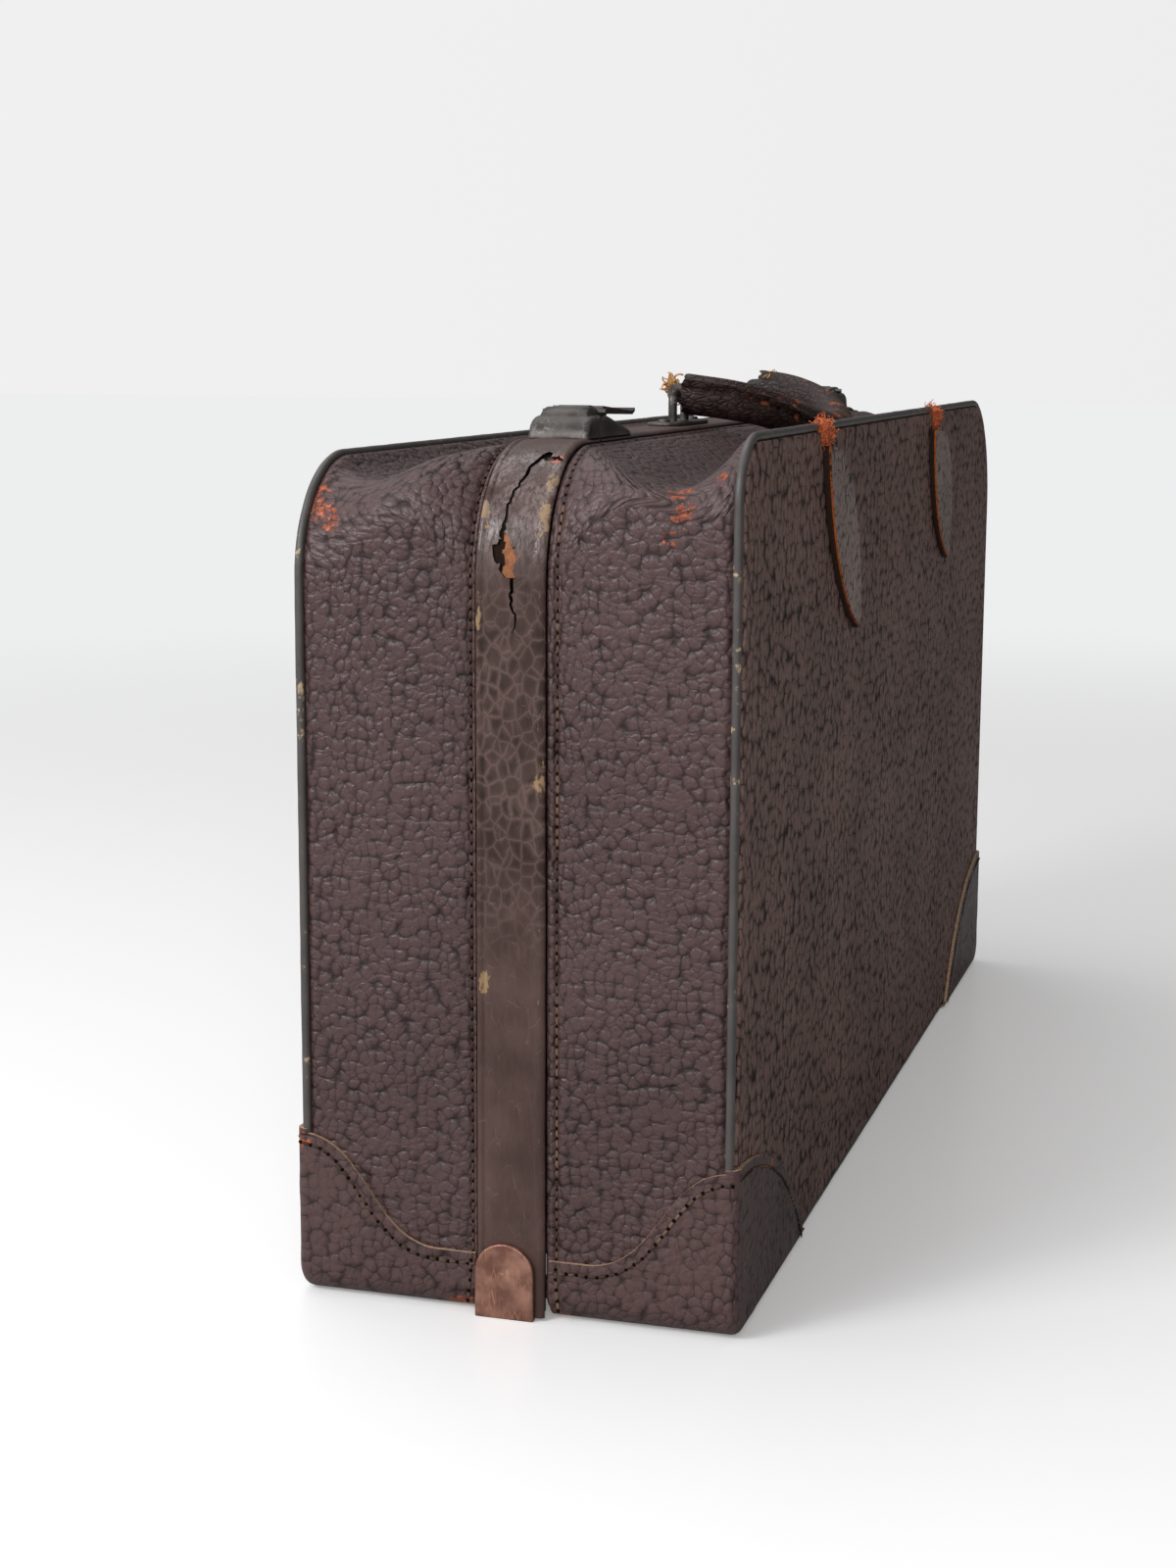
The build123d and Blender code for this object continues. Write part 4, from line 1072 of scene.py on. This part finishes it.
faces += [(a, b, b + layer, a + layer) for a, b in zip(rim, rim[1:] + rim[:1])]
core = make_piece(
    "split_suede_core", points, faces, [suede, cut_edge_painted_shadow], "back_shell"
)
# Faces towards the back of the split take the near-black finish: painted shadow in the gap.
for face in core.data.polygons:
    ragged = 3.2 + 0.8 * noise.noise(face.center / mm / 2)
    face.material_index = 1 if face.center.y > ragged * mm else 0

# Steel: frames, pins and keepers are black-finished mild steel, gone brown with
# age. The plates over the hinges were washed with copper and have dulled.


def steel_finish(name, dark, light, metallic, rough, scuff):
    """Aged plated or japanned steel: cloudy, pitted, bright where it is handled."""
    material, shader, place = new_finish(name, IOR=1.6)
    cloudy = place.cloud(9, 4.0, 0.6).ramp(0.3, 0.72)
    pits = place.cloud(0.9, 4.0, 0.7).ramp(0.6, 0.75)
    hairs = place.mapped((1, 1, 0.15), (0, 35, 12)).cells(2.2).ramp(0.0, 0.03, 1.0, 0.0)
    hairs = hairs * place.cloud(8).ramp(0.5, 0.62)
    colour = cloudy.blend(dark, light)
    colour = (0.55 * hairs).blend(colour, scuff)
    colour = (0.5 * pits).blend(colour, [0.3 * v for v in dark])
    feed(
        shader, Base_Color=colour, Roughness=rough + 0.18 * cloudy + 0.15 * pits,
        Metallic=metallic - 0.3 * pits,
        Normal=raised(0.6 * place.cloud(3.5, 3.0) - 0.3 * pits - 0.15 * hairs, 0.16),
    )
    return material


frame_steel = steel_finish(
    "frame_steel", (0.04, 0.03, 0.025), (0.12, 0.1, 0.085), 0.8, 0.42, (0.3, 0.27, 0.24)
)
dark_steel = steel_finish(
    "dark_steel", (0.045, 0.038, 0.034), (0.125, 0.112, 0.105), 0.75, 0.36, (0.3, 0.28, 0.26)
)
coppered = steel_finish(
    "coppered_steel", (0.2, 0.088, 0.062), (0.42, 0.22, 0.16), 0.75, 0.34, (0.8, 0.42, 0.22)
)


def dressed(node, finish):
    """Gives a CAD node that already has its finished shape its material."""
    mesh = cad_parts[node].data
    mesh.materials.clear()
    mesh.materials.append(finish)
    mesh.shade_smooth()
    mesh.set_sharp_from_angle(angle=radians(30))


def eased(node, finish, body, width):
    """The CAD node's shape with its hard edges worn round."""
    shape = cad_shape(node)
    hard = [e for e in shape.edges if e.is_manifold and e.calc_face_angle() > radians(28)]
    bmesh.ops.bevel(
        shape, geom=hard, offset=width * mm, segments=3, profile=0.5, affect="EDGES",
        clamp_overlap=True,
    )
    return placed(node + "_worn", as_mesh(shape), [finish], body, [node], 40)


for node in ("back_frame", "front_frame", "hinge_pins"):
    dressed(node, frame_steel)
for node in (
    "catch_pins", "catch_keepers", "bracket_rivets", "left_bracket_staple",
    "right_bracket_staple", "handle_loops",
):
    dressed(node, dark_steel)
nail_x, nail_z, nail_sides = -132.5, 306.2, 20
nail_rings = ((1.6, 2.2), (3.2, 2.2), (3.7, 1.9), (4.0, 1.3), (4.1, 0.5))
points = []
for rise, radius in nail_rings:
    for k in range(nail_sides):
        angle = 2 * pi * k / nail_sides
        x, z = nail_x + radius * cos(angle), nail_z + radius * sin(angle)
        points.append((x, -panel_face - rise, z))
make_piece(
    "strap_nail_head", points, tube_faces(len(nail_rings), nail_sides), [dark_steel],
    "front_shell", ["strap_tack"],
)
for side in ("left", "right"):
    eased(f"{side}_hinge_plate", coppered, "back_shell", 0.45)
    eased(f"{side}_bracket_plate", dark_steel, "back_shell", 0.35)

# Catches: a case pressed from one piece of sheet, flared at its foot, with a
# raised saddle; the lever's knuckle turns on a pin between its cheeks.
catch_pin_x, catch_pin_height, catch_pin_rise = 229.0, 334.7, 9.2
case_stations = [
    (-21.0, 0.2, 10.8, 0), (-20.85, 0.9, 11.3, 0), (-20.5, 2.0, 11.8, 0), (-19.8, 3.4, 12.2, 0),
    (-18.7, 4.9, 12.5, 0), (-17.2, 6.2, 12.7, 0), (-15.6, 7.2, 12.8, 0), (-14.2, 7.7, 12.8, 0),
    (-13.7, 7.85, 12.8, 0.5), (-13.0, 8.0, 12.8, 1.2), (-11.8, 8.1, 12.8, 2.0), (-10.0, 8.2, 12.8, 2.7),
    (-7.5, 8.25, 12.8, 3.0), (-5.0, 8.3, 12.8, 3.0), (-3.6, 8.3, 12.8, 2.9), (-3.0, 8.3, 12.8, 2.6),
    (-1.0, 8.3, 12.8, 2.4), (1.0, 8.3, 12.8, 2.1), (2.6, 8.3, 12.8, 1.0), (3.6, 8.3, 12.8, 0.2),
    (5.0, 8.2, 12.8, 0), (10.0, 7.3, 12.8, 0), (18.0, 5.6, 12.8, 0),
    (25.0, 4.2, 12.8, 0), (30.0, 3.1, 12.75, 0), (33.5, 2.3, 12.6, 0), (35.8, 1.6, 12.3, 0),
    (37.2, 0.9, 11.9, 0), (38.0, 0.2, 11.4, 0),
]
catch_windows = (((-3.3, -6.4, -3.3), (5.5, 6.4, 6)), ((-8.75, -14, -10), (-6.55, 0.6, -1.0)))
for side, way in (("left", -1), ("right", 1)):
    points = []
    for x, high, half_width, saddle in case_stations:
        corner = min(2.6, 0.8 * high)
        wall, inner = half_width - 0.45, half_width - 0.45 - corner
        row = [(half_width, 0.0), (half_width - 0.25, 0.12 * high)]
        row += [(half_width - 0.4, 0.3 * high), (wall, high - corner)]
        for angle in pi / 2 * np.arange(1, 6) / 5:
            row.append((wall - corner * (1 - cos(angle)), high - corner * (1 - sin(angle))))
        for share, lift in ((0.985, 0), (0.965, 0.35), (0.93, 0.8), (0.87, 1), (0.5, 1)):
            row.append((inner * share, high + lift * saddle))
        row += [(-y, z) for y, z in row[::-1]]
        foot = catch_pin_height - catch_pin_rise
        points += [(way * (catch_pin_x - x), y, foot + z) for y, z in row]
    case = make_piece(
        f"{side}_catch_case_pressed", points, tube_faces(len(case_stations), len(row)),
        [dark_steel], "back_shell", [f"{side}_catch_case"], 42,
    )
    cutter = bmesh.new()
    for low, high in catch_windows:
        x, y, z = ((a + b) / 2 for a, b in zip(low, high))
        size = [b - a for a, b in zip(low, high)]
        add_block(cutter, (way * (catch_pin_x - x), y, catch_pin_height + z), size)
    carve(case, cutter, [dark_steel])
    eased(f"{side}_catch_lever", dark_steel, f"{side}_catch", 0.4)

# Handle: dark hide rolled round a laid cord and sewn along its outer side. Both
# ends have torn open and the finish is rubbed away to red along the seam.
handle_hide, shader, place = new_finish("handle_hide", IOR=1.45, Specular_IOR_Level=0.28)
wrinkles = place.stirred(8, 2).mapped((1, 1, 2.2)).cells(4.2).ramp(0.0, 0.22)
grime = place.cloud(14, 4.0, 0.6).ramp(0.35, 0.7)
colour = (0.5 * grime + 0.5 * wrinkles).blend((0.008, 0.004, 0.0035), (0.052, 0.031, 0.027))
reach = place.near([
    (-20, -56, 334, 26), (10, -62, 333, 22), (-45, -45, 337, 18), (30, -57, 336, 20), (66, -28, 338, 12),
    (-60, -30, 340, 14), (50, -45, 340, 14),
]).ramp(0.0, 0.8)
bare = (place.stirred(7, 2.4).cloud(6.5, 5.0, 0.62) + 0.2 * reach).ramp(0.66, 0.8)
burnt = place.cloud(4).ramp(0.35, 0.65).blend((0.15, 0.03, 0.014), (0.4, 0.11, 0.04))
colour = (0.8 * bare).blend(colour, burnt)
relief = 0.5 * wrinkles + 0.5 * place.cloud(7, 3.0) + 0.12 * place.cloud(0.9, 3.0) - 0.1 * bare
feed(
    shader, Base_Color=colour, Roughness=0.42 + 0.2 * grime + 0.15 * bare - 0.06 * wrinkles,
    Normal=raised(relief, 0.5),
)
torn_hide = fibrous(
    "torn_handle_edge", (0.16, 0.07, 0.03), (0.5, 0.29, 0.12), (0.9, 4.0, 0.7), (0.8, 0.15), 0.3,
    Specular_IOR_Level=0.2,
)
# The turned-in ends and end caps are near black: painted shade inside the hollow torn ends.
hollow_painted_shade, shader, place = new_finish("handle_inside_painted_shade", IOR=1.4, Specular_IOR_Level=0.1)
feed(
    shader, Base_Color=place.cloud(2).blend((0.008, 0.005, 0.004), (0.03, 0.018, 0.013)),
    Roughness=0.9 + 0.05 * place.cloud(3),
)
droop, handle_rise, handle_span, bar_height = radians(6), 54, 148, 339.0
around = 48


def handle_at(t):
    """The middle of the handle's arch at t, and its ways along, up and outward."""
    out, fall = handle_rise * sin(t), handle_rise * cos(t)
    sunk = 11.0 * sin(t) ** 3
    x = -handle_span / 2 * cos(t)
    place = Vector((x, -out * cos(droop), bar_height - out * sin(droop) - sunk))
    along = Vector((handle_span / 2 * sin(t), -fall * cos(droop), -fall * sin(droop)))
    along.normalize()
    up = Vector((0, -sin(droop), cos(droop)))
    side = along.cross(up)
    side.normalize()
    return place, along, up, side


def handle_ring(t, inset, ragged=0.0, toward=1, seam=True):
    """A ring of points round the handle at t; a ragged one is torn back unevenly."""
    place, along, up, side = handle_at(t)
    share = sin(t) ** 2
    tall, broad = 9.5 - 1.3 * share - inset, 7.0 + 1.7 * share - inset
    seam_angle = radians(52 + 66 * smooth(t, 0.3, 1.8))
    ring = []
    for k in range(around):
        angle = 2 * pi * k / around
        across, high = sin(angle), cos(angle)
        off = (angle - seam_angle + pi) % (2 * pi) - pi
        grow = 0.975 + 0.035 * noise.noise(Vector((high * 1.1, across * 1.1, t * 2.6)))
        lift = 0
        if seam:
            lift = 1.7 * hump(off, 0, 0.13) - 1.4 * hump(off, 0.3, 0.13) + 0.5 * hump(off, -0.5, 0.35) - 0.4
        spot = up * ((tall * grow + lift) * high) + side * ((broad * grow + lift) * across)
        tear = 0.5 + 0.5 * noise.noise(Vector((high * 1.9, across * 1.9, 7 + t)))
        tear = ragged * (tear + 0.25 * sin(9 * angle))
        ring.append(place + spot + along * (toward * tear))
    return ring


first = asin(1.0 / handle_rise)
last = pi - first
turned_in = [(0.16, 3.0, 0, False), (0.03, 2.6, 2.4, False), (0, 1.2, 3.2, False), (0, 0.3, 3.0, True)]
rings = [handle_ring(first + t, inset, ragged, 1, seam) for t, inset, ragged, seam in turned_in]
for t in np.linspace(first, last, 90)[1:-1]:
    ragged = 2.8 * (hump(t, first, 0.05) + hump(t, last, 0.05))
    rings.append(handle_ring(t, 0, ragged, 1 if t < pi / 2 else -1))
for t, inset, ragged, seam in turned_in[::-1]:
    rings.append(handle_ring(last - t, inset, ragged, -1, seam))
grip = make_piece(
    "handle_grip_rolled", [p for ring in rings for p in ring], tube_faces(len(rings), around),
    [handle_hide, torn_hide, hollow_painted_shade], "handle", ["handle_grip"], 70,
)
for face in grip.data.polygons:
    ring, end_ring = min(v // around for v in face.vertices), len(rings) - 2
    deep = ring in (0, end_ring) or len(face.vertices) > 4
    edge = ring in (1, 2, end_ring - 1, end_ring - 2)
    face.material_index = 2 if deep else 1 if edge else 0

cord = fibrous(
    "laid_cord", (0.09, 0.055, 0.03), (0.3, 0.2, 0.11), (1.6, 3.0, 0.6), (0.8, 0.1), 0.4,
    lay=[(1, 1, 1), (0, 0, 40)], Sheen_Weight=0.2,
)
cord_first, cord_rows, cord_sides = asin(12.5 / handle_rise), 70, 30
points = []
for t in np.linspace(cord_first, pi - cord_first, cord_rows):
    place, along, up, side = handle_at(t)
    share = sin(t) ** 2
    tall, broad = 6.4 - 2.2 * share, 3.9 + 1.5 * share
    for k in range(cord_sides):
        angle = 2 * pi * k / cord_sides
        lobe = 0.93 - 0.09 * abs(sin(1.5 * (angle + 7 * t)))
        points.append(place + up * (tall * lobe * cos(angle)) + side * (broad * lobe * sin(angle)))
make_piece(
    "handle_cord", points, tube_faces(cord_rows, cord_sides), [cord], "handle", ["handle_core"],
    60,
)

golden, shader, place = new_finish(
    "golden_fibre", IOR=1.45, Sheen_Weight=0.3, Specular_IOR_Level=0.2
)
tint = place.cloud(3.0, 3.0).ramp(0.3, 0.7)
feed(
    shader, Base_Color=tint.blend((0.3, 0.1, 0.025), (0.72, 0.44, 0.15)),
    Roughness=0.8 + 0.1 * tint,
)
frayed_ends = {
    "near": ((-74.5, 3.0, 342.7), (2.6, 2.2, 2.2), 3.9, 46, 0.36),
    "near_low": ((-73.5, 0.6, 340.5), (1.8, 1.2, 3.6), 3.2, 34, 0.3),
    "far": ((72.5, -8.0, 344.1), (2.6, 1.6, 1.8), 3.0, 70, 0.22),
}
for number, (name, (middle, size, long, count, thick)) in enumerate(frayed_ends.items()):
    tuft(
        f"handle_fibres_{name}", golden, middle, size, long, thick, count, 31 + number, "handle",
        0.7, 20 + number,
    )

# Floor, backdrop, light and camera: a plain pale sweep, soft light from the
# near end's side and above, and the camera where the photograph was taken.
floor_mesh = bpy.data.meshes.new("floor")
reach = 14
floor_corners = [(-reach, -reach, 0), (reach, -reach, 0), (reach, reach, 0), (-reach, reach, 0)]
floor_mesh.from_pydata(floor_corners, [], [(0, 1, 2, 3)])
floor = in_scene("floor", floor_mesh)
floor_finish, shader, place = new_finish("pale_floor", IOR=1.45, Roughness=0.3)
seen = place.node("ShaderNodeLightPath")
feed(shader, Base_Color=seen.blend((0.5, 0.5, 0.49), (0.84, 0.84, 0.835)))
shader.inputs["Emission Strength"].default_value = 1.0
feed(shader, Emission_Color=seen.blend((0, 0, 0), (0.19, 0.186, 0.183)))
far = place.node("ShaderNodeVectorMath", (place,), "Value", operation="LENGTH").ramp(0.6, 2.2)
sweep = place.node("ShaderNodeEmission", ((0.85, 0.855, 0.86, 1),))
joined = place.node("ShaderNodeMixShader", (seen * far, Wire(place.tree, shader.outputs[0]), sweep))
place.tree.links.new(joined.socket, place.tree.nodes["Material Output"].inputs["Surface"])
floor_mesh.materials.append(floor_finish)
floor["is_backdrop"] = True

world = bpy.data.worlds.new("studio")
bpy.context.scene.world = world
world.use_nodes = True
backdrop = world.node_tree.nodes["Background"]
toward = Wire(world.node_tree).node("ShaderNodeTexCoord", out="Generated")
seen = toward.node("ShaderNodeLightPath")
height_of_light = toward.axis(1) * 0.7 - toward.axis(0) * 0.45 + toward.axis(2) * 0.35
lit = height_of_light.ramp(-0.6, 0.95).blend((0.105, 0.103, 0.1), (0.86, 0.87, 0.9))
wall = toward.axis(1).ramp(-0.6, 0.5).blend((0.8, 0.8, 0.8), (0.87, 0.87, 0.87))
world.node_tree.links.new(seen.blend(lit, wall).socket, backdrop.inputs["Color"])


def soft_lamp(name, place, aim, size, power, colour):
    """A square soft box."""
    lamp = bpy.data.lights.new(name, "AREA")
    lamp.size, lamp.energy, lamp.color = size, power, colour
    made = in_scene(name, lamp)
    made.location = place
    made.rotation_euler = (Vector(aim) - Vector(place)).to_track_quat("-Z", "Y").to_euler()
    made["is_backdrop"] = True


soft_lamp("window", (-1.6, 1.25, 1.35), (-0.25, 0, 0.2), 0.7, 17.5, (0.97, 0.98, 1.0))
soft_lamp("skylight", (-1.35, 0.63, 1.15), (-0.3, 0, 0.28), 0.5, 6, (0.97, 0.98, 1.0))
soft_lamp("ceiling", (0.4, 0.6, 2.2), (0, 0, 0.1), 1.4, 9, (1.0, 0.99, 0.98))
soft_lamp("room", (-2.3, -0.7, 1.1), (-0.1, -0.1, 0.15), 0.6, 13, (1.0, 0.99, 0.98))

camera_data = bpy.data.cameras.new("camera")
camera_data.sensor_fit = "VERTICAL"
camera_data.sensor_height = 36
camera_data.sensor_width = 27
camera_data.lens = 57.516
camera = in_scene("camera", camera_data)
bearing, tilt, roll = radians(-73.175), radians(10.026), radians(0.2295)
back = Vector((sin(bearing) * cos(tilt), -cos(bearing) * cos(tilt), sin(tilt)))
level = Vector((cos(bearing), sin(bearing), 0))
up = back.cross(level)
right = cos(roll) * level + sin(roll) * up
up = cos(roll) * up - sin(roll) * level
turn = Matrix((right, up, back)).transposed().to_4x4()
camera.matrix_world = Matrix.Translation(Vector((-1.15037, -0.28456, 0.36127))) @ turn
bpy.context.scene.camera = camera
bpy.context.scene.view_settings.view_transform = "Standard"

dressed_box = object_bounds()
rows = [[[round(v, 6) for v in corner] for corner in box] for box in (cad_box, dressed_box)]
